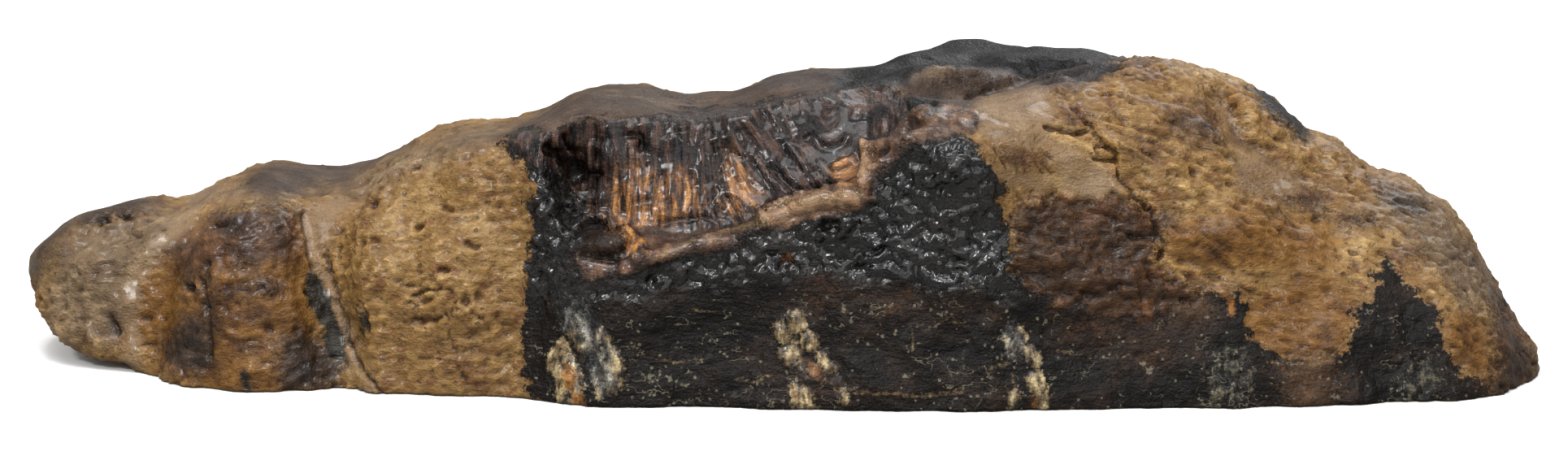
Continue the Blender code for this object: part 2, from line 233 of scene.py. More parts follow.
class Grain:
    """Seeded solid noise, from which the relief is worn. Places and widths are in millimetres."""

    rows = 4096
    primes = (73856093, 19349663, 83492791)
    full_swing = 1.6
    crest_steepness = 2.2

    def __init__(self, seed: int) -> None:
        """Draws the tables of slopes, of places in a cell and of numbers.

        Args:
            seed: the same seed draws the same tables.
        """
        draw = np.random.default_rng(seed)
        slopes = draw.normal(size=(self.rows, 3))
        self.slopes = slopes / np.linalg.norm(slopes, axis=1)[:, None]
        self.places = draw.random((self.rows, 3))
        self.marks = draw.random(self.rows)

    def row(self, cell: np.ndarray) -> np.ndarray:
        """The table row of each whole-numbered cell."""
        x, y, z = cell.T * np.array(self.primes, dtype=np.int64)[:, None]
        return (x ^ y ^ z) % self.rows

    def cloud(self, points: np.ndarray, size: Widths) -> np.ndarray:
        """Soft noise of about -1 to 1.

        Args:
            points: the places to read it at.
            size: the width of a swell, or one width along each axis.

        Returns:
            One value a point.
        """
        scaled = points / np.asarray(size)
        base = np.floor(scaled).astype(np.int64)
        inside = scaled - base
        ease = inside**3 * (inside * (inside * 6.0 - 15.0) + 10.0)
        total = np.zeros(len(points))
        for corner in product((0, 1), repeat=3):
            step = np.array(corner)
            slope = self.slopes[self.row(base + step)]
            weight = np.prod(np.where(step == 1, ease, 1.0 - ease), axis=1)
            total += weight * np.einsum("ij,ij->i", inside - step, slope)
        return total * self.full_swing

    def ridges(self, points: np.ndarray, size: Widths) -> np.ndarray:
        """Noise of 0 to 1 with sharp crests."""
        return np.clip(1.0 - self.crest_steepness * np.abs(self.cloud(points, size)), 0.0, 1.0)

    def drift(self, points: np.ndarray, size: float, step: float, axes: int = 3) -> np.ndarray:
        """Noise with a direction, which carries points off their places.

        Args:
            points: the places to read it at.
            size: the width of a swell.
            step: how far apart in the noise the axes are read.
            axes: how many axes it has.

        Returns:
            One row a point, with a value of about -1 to 1 for each axis.
        """
        return np.stack([self.cloud(points + step * i, size) for i in range(axes)], axis=1)

    def cells(self, points: np.ndarray, size: float) -> tuple[np.ndarray, np.ndarray, np.ndarray]:
        """Breaks space into grains.

        Args:
            points: the places to look at.
            size: a grain's width.

        Returns:
            The distance to the nearest grain's middle, the gap to the next one's, both as shares of the size,
            and that grain's own number of 0 to 1.
        """
        scaled = points / size
        base = np.floor(scaled).astype(np.int64)
        nearest = np.full(len(points), np.inf)
        second = np.full(len(points), np.inf)
        mark = np.zeros(len(points))
        for corner in product((-1, 0, 1), repeat=3):
            cell = base + np.array(corner)
            row = self.row(cell)
            apart = np.linalg.norm(cell + self.places[row] - scaled, axis=1)
            closer = apart < nearest
            second = np.where(closer, nearest, np.minimum(second, apart))
            mark = np.where(closer, self.marks[row], mark)
            nearest = np.where(closer, apart, nearest)
        return nearest, second - nearest, mark


def line_distance(pixels: np.ndarray, start: np.ndarray, end: np.ndarray) -> np.ndarray:
    """Measures from pixels to a straight line.

    Args:
        pixels: photograph pixels, one row each.
        start: the line's first end.
        end: its other end.

    Returns:
        The distance of each, in pixels.
    """
    along = end - start
    share = np.clip(((pixels - start) @ along) / (along @ along), 0.0, 1.0)
    return np.linalg.norm(pixels - (start + share[:, None] * along), axis=1)


def path_distance(pixels: np.ndarray, path: Outline) -> np.ndarray:
    """Measures from pixels to an open path.

    Args:
        pixels: photograph pixels, one row each.
        path: the path's corners, in order.

    Returns:
        The distance of each, in millimetres.
    """
    corners = np.array(path, float)
    nearest = np.full(len(pixels), np.inf)
    for start, end in zip(corners[:-1], corners[1:]):
        nearest = np.minimum(nearest, line_distance(pixels, start, end))
    return nearest / EYE.pixels_per_mm()


def inside_distance(pixels: np.ndarray, outline: Outline) -> np.ndarray:
    """How far each pixel lies inside a closed outline.

    Args:
        pixels: photograph pixels, one row each.
        outline: the corners of the outline, in order.

    Returns:
        Millimetres inside the outline, below zero outside it.
    """
    corners = np.array(outline, float)
    nearest = np.full(len(pixels), np.inf)
    inside = np.zeros(len(pixels), bool)
    for start, end in zip(corners, np.roll(corners, -1, axis=0)):
        nearest = np.minimum(nearest, line_distance(pixels, start, end))
        if start[1] == end[1]:
            continue
        crosses = (start[1] > pixels[:, 1]) != (end[1] > pixels[:, 1])
        slope = (end[0] - start[0]) / (end[1] - start[1])
        inside ^= crosses & (pixels[:, 0] < start[0] + (pixels[:, 1] - start[1]) * slope)
    return np.where(inside, nearest, -nearest) / EYE.pixels_per_mm()


CHART: dict[Zone, tuple[Outline, ...]] = {}
"""Each zone's outlines, in pixels of the photograph."""

CHART[Zone.GOLD] = (
    ((165, 330), (205, 300), (260, 262), (370, 256), (380, 330), (388, 400), (405, 440), (425, 490),
     (260, 490), (190, 455), (165, 400)),
    ((1529, 371), (1570, 361), (1593, 338), (1639, 334), (1657, 352), (1667, 380), (1662, 407), (1644, 430),
     (1621, 444), (1584, 439), (1547, 430), (1533, 403)),
    ((1764, 386), (1800, 384), (1822, 400), (1832, 440), (1824, 464), (1790, 440)),
    ((1440, 270), (1520, 262), (1620, 270), (1650, 300), (1640, 330), (1560, 332), (1480, 330),
     (1440, 310)),
)
CHART[Zone.STAIN] = (
    ((205, 300), (240, 285), (262, 268), (330, 260), (368, 262), (372, 300), (362, 330), (330, 322),
     (290, 335), (262, 330), (238, 345), (212, 335)),
    ((262, 350), (300, 345), (335, 352), (330, 362), (290, 372), (266, 368)),
    ((1217, 187), (1272, 178), (1290, 196), (1276, 208), (1249, 205)),
    ((1300, 130), (1330, 118), (1345, 140), (1330, 160), (1305, 155)),
    ((1840, 343), (1848, 330), (1858, 352), (1874, 403), (1889, 444), (1889, 472), (1850, 492), (1820, 488),
     (1844, 458), (1840, 407)),
    ((1650, 262), (1690, 258), (1700, 280), (1660, 286)),
    ((1716, 300), (1744, 300), (1752, 324), (1722, 322)),
    ((262, 378), (300, 372), (334, 384), (330, 400), (280, 396)),
    ((280, 418), (330, 414), (336, 434), (290, 440)),
    ((1560, 232), (1600, 228), (1640, 236), (1625, 262), (1580, 258)),
    ((1400, 258), (1450, 262), (1445, 285), (1410, 290)),
    ((1290, 92), (1345, 84), (1380, 88), (1330, 112), (1290, 116)),
    ((1436, 130), (1480, 126), (1510, 150), (1500, 184), (1462, 176), (1440, 158)),
    ((1382, 66), (1420, 62), (1442, 80), (1412, 90), (1388, 88)),
    ((1680, 218), (1706, 222), (1704, 238), (1682, 236)),
    ((1398, 168), (1420, 172), (1418, 196), (1400, 190)),
)
CHART[Zone.GREY] = (
    ((60, 300), (120, 272), (200, 258), (232, 272), (215, 300), (190, 330), (165, 345), (160, 400),
     (140, 425), (80, 420), (62, 370)),
    ((400, 236), (470, 202), (560, 160), (616, 148), (622, 170), (560, 192), (500, 215), (450, 240)),
    ((1690, 222), (1760, 236), (1820, 310), (1852, 380), (1800, 376), (1740, 300), (1700, 262)),
    ((1112, 92), (1190, 84), (1290, 88), (1290, 104), (1190, 104), (1120, 108)),
)
# Soot-dark stains, and at the foot of the far ridge a painted shadow.
CHART[Zone.SOOT_AND_SHADE] = (
    ((194, 424), (225, 389), (252, 386), (262, 447), (232, 468), (196, 450)),
    ((337, 424), (374, 404), (403, 422), (430, 456), (412, 484), (345, 484)),
    ((264, 266), (300, 254), (347, 252), (352, 266), (300, 280), (268, 284)),
    ((246, 340), (258, 340), (262, 400), (256, 440), (248, 430)),
    ((282, 300), (316, 300), (318, 312), (286, 314)),
    ((226, 344), (240, 344), (242, 362), (228, 362)),
    ((134, 388), (146, 386), (148, 412), (136, 414)),
    ((86, 268), (120, 254), (165, 250), (160, 262), (110, 276)),
    ((1700, 236), (1740, 240), (1752, 262), (1716, 258)),
    ((322, 344), (352, 346), (350, 362), (326, 360)),
    ((274, 354), (302, 356), (298, 364), (276, 363)),
    # Painted shadow: these two outlines darken the recess along the foot of the far ridge.
    ((1046, 84), (1080, 80), (1118, 90), (1114, 104), (1060, 102)),
    ((1212, 98), (1290, 92), (1300, 102), (1220, 110)),
    # A dark band below the far ridge, left of the painted shadow.
    ((930, 92), (960, 84), (1040, 82), (1046, 108), (980, 116), (934, 112)),
)
CHART[Zone.NODULE] = (
    ((1262, 247), (1318, 229), (1373, 233), (1412, 252), (1430, 279), (1425, 315), (1440, 343), (1482, 352),
     (1486, 396), (1400, 416), (1318, 404), (1256, 384), (1234, 344), (1244, 297), (1244, 270)),
)
CHART[Zone.CORTEX] = (
    ((606, 168), (636, 148), (690, 118), (740, 98), (830, 98), (880, 106), (930, 86), (980, 78), (1040, 74),
     (1110, 76), (1200, 74), (1300, 80), (1360, 70), (1385, 78), (1310, 110), (1215, 122), (1190, 142),
     (1122, 142), (1102, 116), (987, 126), (865, 146), (742, 158), (681, 170), (630, 172)),
    ((290, 224), (330, 194), (400, 194), (440, 188), (500, 164), (508, 178), (470, 200), (430, 226),
     (370, 240), (330, 250), (298, 242)),
    ((26, 350), (40, 300), (70, 264), (110, 244), (165, 236), (195, 246), (190, 258), (150, 258),
     (110, 268), (85, 286), (66, 308), (50, 336)),
)
CHART[Zone.PALE] = (
    ((237, 250), (270, 238), (218, 290), (196, 312), (172, 333), (168, 375), (170, 410), (174, 456),
     (152, 448), (152, 400), (152, 360), (157, 322), (185, 300), (205, 275)),
    ((228, 238), (250, 226), (300, 222), (296, 244), (262, 254), (234, 254)),
    ((370, 260), (416, 240), (430, 252), (402, 289), (394, 320), (408, 352), (434, 400), (450, 450),
     (474, 490), (452, 490), (430, 446), (404, 380), (386, 330), (376, 298)),
    ((1198, 141), (1208, 127), (1240, 113), (1272, 104), (1290, 112), (1297, 150), (1288, 178), (1253, 182),
     (1226, 176), (1203, 166)),
    ((1290, 173), (1336, 191), (1364, 214), (1384, 226), (1377, 239), (1341, 239), (1309, 235),
     (1299, 210)),
    ((1492, 105), (1511, 130), (1534, 170), (1566, 189), (1600, 210), (1609, 226), (1584, 221), (1547, 207),
     (1531, 235), (1520, 230), (1518, 191), (1504, 155)),
    ((1524, 235), (1566, 201), (1598, 217), (1593, 234), (1561, 244)),
    ((1204, 205), (1226, 205), (1272, 214), (1300, 222), (1290, 232), (1250, 232), (1240, 226)),
    ((1112, 92), (1130, 84), (1165, 80), (1184, 88), (1160, 96), (1125, 98)),
)
CHART[Zone.DARK] = (
    ((612, 176), (650, 205), (665, 232), (645, 250), (655, 290), (645, 330), (650, 380), (640, 420),
     (645, 470), (665, 500), (665, 560), (1620, 560), (1618, 450), (1584, 442), (1538, 416), (1533, 380),
     (1524, 364), (1474, 361), (1455, 380), (1400, 389), (1318, 380), (1272, 361), (1244, 334), (1242, 306),
     (1235, 279), (1228, 247), (1237, 228), (1226, 214), (1203, 187), (1180, 168), (1190, 140), (1122, 133),
     (1102, 104), (987, 115), (865, 135), (742, 147), (681, 158), (640, 158)),
    ((1708, 315), (1722, 334), (1745, 361), (1772, 380), (1768, 403), (1786, 435), (1800, 462), (1823, 472),
     (1850, 560), (1612, 560), (1612, 452), (1650, 434), (1667, 407), (1667, 380), (1690, 361),
     (1694, 334)),
)
CHART[Zone.CRUST] = (
    ((650, 205), (665, 232), (645, 250), (655, 290), (645, 330), (650, 372), (700, 384), (745, 364),
     (780, 372), (830, 350), (880, 357), (920, 338), (970, 348), (1010, 332), (1060, 346), (1110, 336),
     (1150, 364), (1200, 352), (1246, 372), (1242, 306), (1235, 279), (1228, 247), (1237, 228), (1226, 214),
     (1214, 198), (1203, 187), (1180, 168), (1140, 175), (1110, 190), (1085, 215), (1080, 240), (1056, 260),
     (1010, 268), (962, 284), (900, 306), (850, 320), (800, 332), (760, 345), (715, 345), (700, 320),
     (712, 290), (705, 250), (690, 230), (668, 205)),
)
CHART[Zone.WALL] = (
    ((620, 166), (690, 158), (742, 149), (804, 141), (865, 137), (926, 129), (987, 117), (1049, 109),
     (1102, 106), (1122, 133), (1112, 152), (1075, 185), (1060, 235), (1040, 243), (1000, 250), (950, 262),
     (900, 288), (850, 292), (800, 287), (760, 285), (720, 272), (712, 250), (700, 215), (668, 204),
     (640, 190)),
)
CHART[Zone.GLOW] = (
    ((747, 262), (757, 232), (765, 210), (779, 200), (791, 212), (812, 226), (840, 210), (862, 232),
     (861, 256), (816, 272), (791, 280), (760, 276)),
    ((898, 188), (908, 200), (922, 220), (936, 238), (936, 250), (922, 260), (898, 260), (889, 248),
     (893, 222)),
    ((1024, 209), (1042, 195), (1059, 198), (1061, 221), (1042, 237), (1028, 225)),
    ((755, 276), (771, 276), (802, 300), (800, 317), (774, 322), (768, 296)),
)
CHART[Zone.RIM] = (
    ((783, 279), (870, 284), (930, 280), (947, 266), (1000, 241), (1056, 238), (1060, 205), (1057, 180),
     (1075, 176), (1100, 168), (1116, 145), (1135, 136), (1192, 132), (1207, 150), (1200, 166), (1150, 170),
     (1118, 182), (1088, 206), (1080, 232), (1074, 248), (1052, 262), (1010, 268), (962, 282), (945, 282),
     (900, 302), (850, 314), (800, 327), (770, 338), (715, 342), (712, 312), (770, 318), (800, 316),
     (798, 296)),
)
CHART[Zone.BUFF] = (
    ((940, 268), (962, 252), (1010, 244), (1056, 242), (1058, 256), (1012, 264), (962, 278), (944, 278)),
    ((1064, 182), (1078, 180), (1076, 206), (1068, 232), (1060, 226)),
)
CHART[Zone.RIDGE] = (
    ((1030, 100), (1060, 72), (1110, 50), (1170, 42), (1240, 44), (1330, 44), (1380, 70), (1365, 80),
     (1290, 89), (1200, 84), (1150, 82), (1100, 100), (1060, 98)),
    ((1545, 108), (1561, 112), (1580, 130), (1598, 150), (1606, 164), (1589, 157), (1566, 134)),
    ((1118, 126), (1152, 124), (1150, 135), (1120, 136)),
)
CHART[Zone.GREEN] = (
    ((374, 333), (392, 339), (411, 377), (424, 414), (432, 452), (406, 440), (391, 395), (378, 366)),
    ((440, 375), (448, 385), (452, 408), (442, 412)),
    ((296, 452), (306, 454), (310, 484), (298, 484)),
)
CHART[Zone.ENAMEL] = (
    ((693, 414), (701, 423), (702, 435), (707, 441), (714, 456), (719, 473), (715, 485), (710, 502),
     (686, 502), (684, 473), (680, 460), (673, 453), (674, 435), (680, 430), (681, 424)),
    ((738, 397), (745, 406), (751, 415), (751, 425), (760, 432), (766, 443), (769, 456), (765, 473),
     (763, 482), (754, 489), (747, 486), (746, 469), (738, 460), (735, 439), (728, 422), (731, 409)),
    ((710, 386), (720, 396), (715, 403), (724, 410), (731, 418), (724, 430), (717, 442), (712, 434),
     (707, 418), (698, 409), (703, 398)),
    ((732, 459), (741, 461), (742, 492), (733, 490)),
    ((954, 397), (964, 395), (971, 411), (973, 418), (966, 422), (958, 421), (951, 411), (951, 403)),
    ((971, 384), (982, 380), (989, 386), (993, 398), (995, 404), (985, 408), (978, 411), (974, 407),
     (970, 396), (965, 387)),
    ((985, 410), (994, 406), (1005, 411), (1008, 422), (1005, 430), (997, 435), (989, 432), (982, 422)),
    ((961, 426), (971, 424), (978, 437), (981, 450), (976, 454), (967, 452), (960, 446), (958, 435)),
    ((973, 411), (977, 413), (982, 432), (988, 448), (996, 466), (990, 468), (982, 450), (975, 430)),
    ((1003, 429), (1012, 433), (1021, 445), (1032, 451), (1030, 457), (1020, 458), (1007, 448),
     (1003, 439)),
    ((970, 472), (978, 467), (983, 473), (996, 478), (1006, 504), (974, 504), (972, 486)),
    ((1029, 485), (1038, 478), (1046, 486), (1042, 497), (1032, 497)),
    ((1251, 401), (1258, 402), (1265, 412), (1265, 420), (1260, 423), (1255, 416), (1251, 409)),
    ((1234, 413), (1241, 414), (1248, 422), (1255, 435), (1251, 439), (1245, 434), (1239, 429),
     (1234, 420)),
    ((1248, 408), (1256, 419), (1261, 425), (1256, 431), (1251, 425), (1246, 418)),
    ((1258, 425), (1267, 425), (1274, 430), (1280, 435), (1282, 448), (1277, 454), (1268, 452), (1264, 443),
     (1260, 435)),
    ((1262, 463), (1272, 457), (1282, 459), (1286, 465), (1289, 482), (1288, 504), (1278, 504), (1275, 486),
     (1268, 482), (1265, 472), (1259, 465)),
    ((1242, 482), (1249, 475), (1254, 482), (1255, 491), (1250, 504), (1240, 504), (1241, 495)),
)
CHART[Zone.CORE] = (
    ((692, 448), (703, 449), (709, 459), (712, 473), (707, 481), (698, 478), (693, 460)),
    ((985, 441), (996, 443), (1008, 452), (1011, 460), (1003, 465), (995, 460), (988, 449)),
    ((704, 480), (716, 484), (722, 502), (708, 502)),
    ((975, 474), (981, 480), (980, 494), (976, 490)),
    ((1268, 486), (1276, 490), (1276, 500), (1268, 500)),
    ((1508, 366), (1516, 364), (1520, 388), (1512, 390)),
    ((962, 312), (974, 311), (976, 321), (965, 322)),
)
CHART[Zone.SPECKLE] = (
    ((1483, 449), (1495, 436), (1512, 430), (1528, 440), (1537, 458), (1536, 474), (1540, 489), (1536, 508),
     (1489, 508), (1483, 474)),
    ((1718, 449), (1727, 436), (1740, 430), (1754, 440), (1763, 453), (1768, 467), (1773, 500), (1719, 500),
     (1716, 467)),
    ((1168, 450), (1182, 450), (1186, 464), (1172, 466)),
)
CHART[Zone.MIST] = (
    ((689, 374), (720, 370), (737, 396), (714, 412), (692, 402)),
    ((712, 386), (738, 400), (750, 430), (757, 470), (742, 490), (730, 470), (722, 440), (711, 416)),
    ((1236, 408), (1248, 400), (1262, 420), (1254, 440), (1240, 430)),
)
CHART[Zone.UMBER] = (
    ((1578, 440), (1600, 446), (1640, 436), (1656, 464), (1648, 508), (1576, 508)),
    ((1828, 395), (1838, 342), (1856, 346), (1876, 400), (1896, 444), (1896, 478), (1830, 497), (1806, 488),
     (1836, 462), (1834, 420)),
    ((1000, 345), (1100, 350), (1180, 352), (1236, 360), (1225, 400), (1150, 392), (1060, 380),
     (1000, 372)),
    ((740, 362), (830, 352), (862, 366), (800, 386), (750, 384)),
    ((1290, 385), (1400, 396), (1470, 380), (1500, 400), (1480, 436), (1380, 446), (1300, 425)),
    ((985, 466), (1010, 460), (1050, 472), (1120, 478), (1100, 496), (1040, 492)),
    ((714, 284), (762, 285), (770, 311), (722, 316)),
    ((748, 338), (772, 336), (776, 372), (754, 384), (742, 362)),
)
CHART[Zone.AMBER] = (
    ((1588, 440), (1636, 436), (1642, 470), (1632, 504), (1590, 504), (1582, 470)),
    ((1446, 372), (1486, 366), (1500, 384), (1470, 398), (1440, 392)),
)
CHART[Zone.DUST] = (
    ((664, 440), (690, 372), (740, 380), (790, 430), (850, 446), (860, 480), (830, 508), (664, 508)),
    ((895, 480), (930, 452), (1000, 462), (1046, 470), (1060, 508), (895, 508)),
    ((1060, 356), (1130, 360), (1200, 366), (1200, 400), (1120, 396), (1060, 386)),
    ((1150, 440), (1200, 424), (1250, 395), (1300, 410), (1310, 508), (1180, 508), (1150, 474)),
    ((800, 404), (880, 392), (904, 410), (860, 426), (790, 424)),
    ((1470, 426), (1548, 426), (1556, 508), (1470, 508)),
    ((1706, 426), (1784, 436), (1790, 508), (1706, 508)),
)


@dataclass(frozen=True)
class PaleLine:
    """A thin pale line on the surface, along a path in the photograph."""

    path: Outline
    half_width: float


SEAMS = (
    PaleLine(((944, 266), (962, 259), (985, 256), (1010, 252), (1040, 247)), 0.13),
    PaleLine(((1046, 243), (1060, 240), (1076, 246)), 0.11),
    PaleLine(((868, 298), (890, 290), (925, 283), (945, 279)), 0.13),
    PaleLine(((800, 322), (830, 311), (862, 300)), 0.09),
    PaleLine(((1028, 478), (1070, 484), (1120, 487), (1165, 485), (1184, 480)), 0.12),
    PaleLine(((1214, 458), (1225, 450), (1242, 447)), 0.12),
    PaleLine(((1246, 462), (1248, 474)), 0.1),
    PaleLine(((1158, 394), (1190, 398)), 0.06),
    PaleLine(((905, 466), (930, 470), (948, 462)), 0.08),
    PaleLine(((790, 440), (830, 446), (870, 442)), 0.06),
    PaleLine(((1300, 430), (1340, 440), (1390, 438)), 0.07),
    PaleLine(((1120, 400), (1124, 440)), 0.05),
    PaleLine(((850, 380), (884, 384)), 0.05),
    PaleLine(((1560, 446), (1600, 448), (1650, 446)), 0.07),
)


@dataclass(frozen=True)
class Stroke:
    """A mark along a path in the photograph: a ledge, or a crack where its height is below zero."""

    path: Outline
    half_width: float
    height: float
    flat_top: float = 0.0

    def heights(self, pixels: np.ndarray) -> np.ndarray:
        """The height that the stroke adds at each pixel, in millimetres."""
        share = 1.0 - path_distance(pixels, self.path) / self.half_width
        return self.height * smooth_step(share, 0.0, 1.0 - self.flat_top)


CRACKS = (
    Stroke(((1338, 150), (1354, 173), (1372, 190)), 0.24, -0.7),
    Stroke(((1372, 190), (1376, 214), (1392, 236), (1419, 260), (1423, 288)), 0.2, -0.6),
    Stroke(((1286, 156), (1304, 159), (1324, 164), (1336, 160)), 0.26, -0.6),
    Stroke(((1348, 184), (1354, 190)), 0.26, -0.6),
    Stroke(((1350, 196), (1372, 197)), 0.28, -0.7),
    Stroke(((1346, 180), (1360, 178)), 0.2, -0.45),
    Stroke(((1423, 288), (1432, 300), (1428, 318)), 0.3, -0.5),
    Stroke(((1336, 150), (1322, 134)), 0.3, -0.5),
    Stroke(((507, 363), (522, 358), (541, 355)), 0.26, -0.42),
    Stroke(((497, 373), (512, 374), (530, 369)), 0.2, -0.35),
    Stroke(((506, 394), (525, 396), (548, 388)), 0.22, -0.38),
    Stroke(((495, 350), (515, 351)), 0.16, -0.22),
    Stroke(((402, 314), (410, 345), (420, 385), (432, 425)), 0.26, -0.45),
    Stroke(((432, 425), (446, 455), (468, 484)), 0.24, -0.4),
    Stroke(((444, 376), (452, 408)), 0.3, -0.35),
    Stroke(((250, 352), (256, 390), (258, 440)), 0.32, -0.35),
    Stroke(((374, 262), (378, 300), (386, 330)), 0.3, -0.4),
    Stroke(((228, 352), (237, 354)), 0.42, -0.7),
    Stroke(((262, 277), (276, 275)), 0.36, -0.5),
    Stroke(((122, 268), (132, 270)), 0.4, -0.5),
    Stroke(((148, 264), (162, 266)), 0.4, -0.55),
    Stroke(((160, 286), (170, 288)), 0.3, -0.4),
    Stroke(((136, 392), (144, 408)), 0.4, -0.4),
    Stroke(((575, 298), (588, 305)), 0.34, -0.5),
    Stroke(((540, 330), (550, 333)), 0.28, -0.4),
    Stroke(((545, 254), (556, 258)), 0.34, -0.45),
    Stroke(((510, 276), (520, 278)), 0.26, -0.38),
    Stroke(((458, 294), (466, 296)), 0.26, -0.35),
    Stroke(((506, 208), (514, 206)), 0.34, -0.45),
    Stroke(((524, 340), (560, 362), (590, 392)), 0.18, -0.2),
    Stroke(((560, 372), (548, 400), (560, 432)), 0.16, -0.2),
    Stroke(((516, 440), (560, 446), (575, 470)), 0.18, -0.25),
    Stroke(((1500, 112), (1514, 144), (1532, 172), (1566, 192), (1602, 212)), 1.1, -0.6),
    Stroke(((1120, 131), (1148, 130)), 0.5, -0.7),
    Stroke(((1040, 96), (1090, 84), (1140, 77), (1200, 79), (1290, 89), (1340, 86), (1376, 74)), 0.9, -0.6),
    Stroke(((1190, 118), (1240, 106), (1300, 96), (1350, 92)), 0.4, -0.35),
    Stroke(((1212, 142), (1240, 150), (1262, 176)), 0.3, -0.12),
)

LEDGES = (
    Stroke(((1524, 118), (1548, 146), (1584, 168), (1606, 190)), 0.7, 0.3),
    Stroke(((62, 372), (70, 402), (88, 424), (116, 434)), 2.4, 0.6),
    Stroke(((1130, 92), (1180, 87), (1236, 92)), 1.5, 0.6),
    Stroke(((942, 268), (967, 253), (1012, 244), (1061, 242)), 1.0, 0.75, 0.3),
    Stroke(((768, 330), (800, 318), (850, 303), (900, 290), (945, 276)), 0.75, 0.4, 0.3),
    Stroke(((992, 284), (1002, 270), (1026, 266)), 0.45, 0.4, 0.2),
    Stroke(((1008, 292), (1034, 288), (1048, 276)), 0.4, 0.45, 0.2),
    Stroke(((1066, 180), (1069, 205), (1063, 232)), 0.55, 0.7, 0.3),
    Stroke(((1070, 184), (1100, 176), (1119, 150), (1137, 142)), 0.6, 0.5, 0.3),
    Stroke(((1137, 142), (1165, 140), (1196, 146)), 0.8, 0.35, 0.3),
    Stroke(((718, 299), (764, 300)), 0.7, 0.5, 0.6),
    Stroke(((762, 280), (786, 300), (784, 318)), 0.6, 0.35, 0.3),
    Stroke(((727, 182), (748, 184), (750, 200), (730, 202), (727, 182)), 0.6, 0.5, 0.4),
    Stroke(((712, 275), (735, 268), (752, 272)), 0.55, 0.6, 0.4),
    Stroke(((1028, 205), (1050, 198)), 0.5, 0.35, 0.3),
    Stroke(((1034, 278), (1044, 280)), 0.4, 0.4, 0.4),
    Stroke(((925, 190), (960, 232), (990, 246)), 0.3, 0.25, 0.2),
    Stroke(((960, 168), (1000, 214), (1020, 240)), 0.3, 0.25, 0.2),
)

PITS = (
    Stroke(((1012, 275), (1028, 275)), 0.42, -0.9),
    Stroke(((775, 166), (786, 168), (786, 182)), 0.5, -0.9),
    Stroke(((676, 180), (690, 192), (704, 205), (714, 226)), 0.7, -1.3),
    Stroke(((700, 168), (712, 190), (718, 215)), 0.55, -1.2),
    Stroke(((716, 316), (760, 318)), 0.35, -0.5),
    Stroke(((812, 274), (865, 266), (880, 272)), 0.35, -0.35),
    Stroke(((948, 205), (982, 236), (1020, 226)), 0.4, -0.4),
    Stroke(((722, 212), (740, 214)), 0.25, -0.45),
    Stroke(((930, 262), (944, 268)), 0.35, -0.4),
)


@dataclass
class Surface:
    """The points of the tooth's mesh, in millimetres, and what the photograph sees of them."""

    points: np.ndarray
    normals: np.ndarray
    edges: np.ndarray
    pixels: np.ndarray
    seen: np.ndarray
    links: np.ndarray = field(init=False)

    def __post_init__(self) -> None:
        """Counts each point's neighbours."""
        self.links = np.maximum(np.bincount(self.edges.ravel(), minlength=len(self.points)), 1)

    def neighbours(self, values: np.ndarray) -> np.ndarray:
        """Averages values over each point's neighbours.

        Args:
            values: one value a point.

        Returns:
            The mean around each point, without its own value.
        """
        first, second = self.edges.T
        count = len(self.points)
        total = np.bincount(first, values[second], count) + np.bincount(second, values[first], count)
        return total / self.links

    def soften(self, values: np.ndarray, rounds: int) -> np.ndarray:
        """Averages values with their neighbours.

        Args:
            values: one value a point.
            rounds: how often it is done.

        Returns:
            The softened values.
        """
        for _ in range(rounds):
            values = (values + self.neighbours(values)) / 2.0
        return values


@dataclass(frozen=True)
class Patches:
    """Patches of a zone that lie by chance: how far it reaches, in millimetres."""

    start: float
    swing: float
    offset: float
    size: tuple[float, float, float]

    def reach(self, points: np.ndarray, grain: Grain) -> np.ndarray:
        """How far each point lies inside a patch."""
        return self.start + self.swing * grain.cloud(points + self.offset, self.size)


UNSEEN_PATCHES: dict[Zone, Patches] = {
    Zone.CORTEX: Patches(-0.3, 2.4, 11.0, (11.0, 9.0, 8.0)),
    Zone.SOOT_AND_SHADE: Patches(-1.3, 2.2, 23.0, (9.0, 7.0, 6.0)),
    Zone.STAIN: Patches(-0.6, 2.0, 31.0, (8.0, 8.0, 5.0)),
    Zone.RIDGE: Patches(0.0, 1.8, 51.0, (5.0, 4.0, 4.0)),
}


